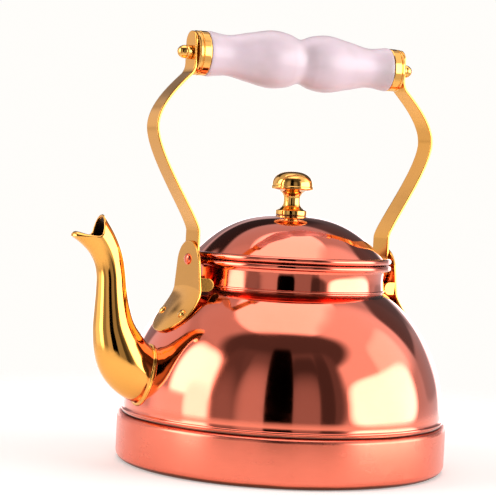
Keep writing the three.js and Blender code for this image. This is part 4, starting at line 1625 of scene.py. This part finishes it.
@dataclass
class Studio:
    """Pale floor, soft patches of light and dark all round, and the camera."""

    camera_place: tuple[float, float, float] = (-0.49075, -0.89267, 0.16410)
    look: tuple[float, float, float] = (0.4597, 0.8875, -0.0336)
    roll: float = 0.0491
    lens: float = 121.3
    heading: float = -28.8
    backdrop: Colour = (1.0, 0.985, 0.955)
    surround: float = 0.6
    ground: float = 0.8
    windows: tuple[Window, ...] = (
        # ceiling, and the warm gap below it on the left
        Window(0, 100, 400, 36, 2.2, 8, 0.04),
        Window(-90, 54, 32, 9, 0.7),
        # right wall, then the two tall windows
        Window(87, 42, 41, 26, 1.2, 4, 0.2),
        Window(100, 30, 16, 12, 2.0, 4, 0.3),
        Window(-71, 20, 17, 20, 5.0, 4, 0.2),
        Window(-75, -4, 28, 10, 1.4, 4, 0.3),
        Window(-63, 0, 9, 15, 4.0, 3, 0.4),
        # dark arch overhead and the dark room round the camera, with its pale strips
        Window(0, 50, 66, 18, 0.09, 2, 0.12),
        Window(-1, 19, 47, 31, 0.14, 6, 0.08),
        Window(-42, 17, 7, 28, 0.12, 4, 0.3),
        Window(-42, -6, 8, 26, 0.32, 2, 0.7),
        Window(-20, 17, 9, 29, 0.2, 6, 0.12),
        Window(-20, -6, 9, 30, 0.65, 3, 0.7),
        Window(18, 17, 10, 29, 0.07, 6, 0.12),
        Window(18, -6, 10, 26, 0.36, 3, 0.7),
        Window(-2, 20, 10, 34, 0.0, 8, 0.07),
        Window(33, 17, 5, 29, 0.07, 4, 0.3),
        Window(81, 8, 30, 17, 5.0, 4, 0.15),
        # far side
        Window(140, 28, 12, 14, 0.12),
        Window(142, 8, 15, 9, 0.4),
        Window(165, 30, 16, 16, 0.1),
        Window(-155, 35, 32, 10, 0.03),
        Window(-150, 12, 22, 9, 0.3),
        Window(-122, 19, 15, 19, 0.85),
        Window(180, 0, 28, 9, 2.5),
    )

    def build(self) -> None:
        """Sets up everything that isn't part of the kettle."""
        self._floor()
        self._world()
        self._camera()
        bpy.context.scene.view_settings.view_transform = "Standard"

    def _floor(self) -> None:
        """A pale disc whose rim fades out, so that no horizon shows."""
        angle = np.linspace(0, 2 * math.pi, 96, endpoint=False)
        radius = np.array([0.0, 200.0, 600.0, 1200.0, 2400.0])[:, None]
        flat = np.stack(
            [radius * np.cos(angle), radius * np.sin(angle), np.zeros((5, 96))], -1
        )
        floor = lay_mesh("floor", [Skin(flat)])
        if floor.data.polygons[0].normal.z < 0:
            floor.data.flip_normals()
        shader = Shader.material("pale_floor")
        radial = shader.vector("LENGTH", shader.place())
        diffuse = shader.add("ShaderNodeBsdfDiffuse", inputs={"Color": (0.80, 0.78, 0.74, 1)})
        glow = shader.add(
            "ShaderNodeEmission", inputs={"Color": (*self.backdrop, 1), "Strength": 0.3}
        )
        lit = shader.add(
            "ShaderNodeAddShader",
            inputs={0: Sock(shader, diffuse.outputs[0]), 1: Sock(shader, glow.outputs[0])},
        )
        clear = shader.add("ShaderNodeBsdfTransparent")
        mixed = shader.add(
            "ShaderNodeMixShader",
            inputs={
                0: radial.step(0.22, 0.5),
                1: Sock(shader, lit.outputs[0]),
                2: Sock(shader, clear.outputs[0]),
            },
        )
        shader.add("ShaderNodeOutputMaterial", inputs={0: Sock(shader, mixed.outputs[0])})
        floor.data.materials.append(shader.owner)

    def _world(self) -> None:
        """Plain pale behind the kettle, and soft windows of light and dark all round it."""
        shader = Shader(bpy.data.worlds.new("studio"))
        ahead = Sock(shader, shader.add("ShaderNodeTexCoord").outputs["Generated"])
        turned_round = shader.add(
            "ShaderNodeVectorRotate",
            {"rotation_type": "Z_AXIS"},
            {"Vector": ahead, "Angle": -math.radians(self.heading)},
        )
        x, y, z = shader.parts(Sock(shader, turned_round.outputs[0]))
        azimuth = x.math("ARCTAN2", y * -1.0).math("DEGREES")
        elevation = z.math("ARCSINE").math("DEGREES")
        below = 1 - elevation.step(-8, 0)
        light: Sock | float = below * (self.ground - self.surround) + self.surround
        for window in self.windows:
            light = window.over(light, azimuth, elevation)
        path = shader.add("ShaderNodeLightPath")
        seen = Sock(shader, path.outputs["Is Camera Ray"])
        glow = shader.blend(seen, shader.joined(light, light * 0.955, light * 0.985), self.backdrop)
        background = shader.add("ShaderNodeBackground", inputs={0: glow})
        shader.add("ShaderNodeOutputWorld", inputs={0: Sock(shader, background.outputs[0])})
        bpy.context.scene.world = shader.owner

    def _camera(self) -> None:
        """Places the camera, turned a little about its own line of sight."""
        data = bpy.data.cameras.new("camera")
        data.sensor_width = 36.0
        data.lens = self.lens
        data.clip_start, data.clip_end = 0.05, 20.0
        camera = bpy.data.objects.new("camera", data)
        ahead = Vector(self.look).normalized()
        right = ahead.cross(Vector((0, 0, 1))).normalized()
        up = right.cross(ahead)
        tilted_right = right * math.cos(self.roll) + up * math.sin(self.roll)
        tilted_up = up * math.cos(self.roll) - right * math.sin(self.roll)
        turn = Matrix((tilted_right, tilted_up, -ahead)).transposed().to_4x4()
        camera.matrix_world = Matrix.Translation(Vector(self.camera_place)) @ turn
        bpy.context.scene.collection.objects.link(camera)
        bpy.context.scene.camera = camera


def main() -> None:
    """Loads the frame, builds every sub-assembly round it and sets the studio."""
    logging.basicConfig(level=logging.INFO, format="%(name)s %(message)s")
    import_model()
    shop = Workshop()
    vessel = Vessel()
    Studio().build()
    vessel.build(shop)
    Lid(vessel).build(shop)
    Spout(vessel).build(shop)
    for side, word in SIDES:
        Bracket(vessel, side, word).build(shop)
    Handle(vessel).build(shop)


if __name__ == "__main__":
    main()
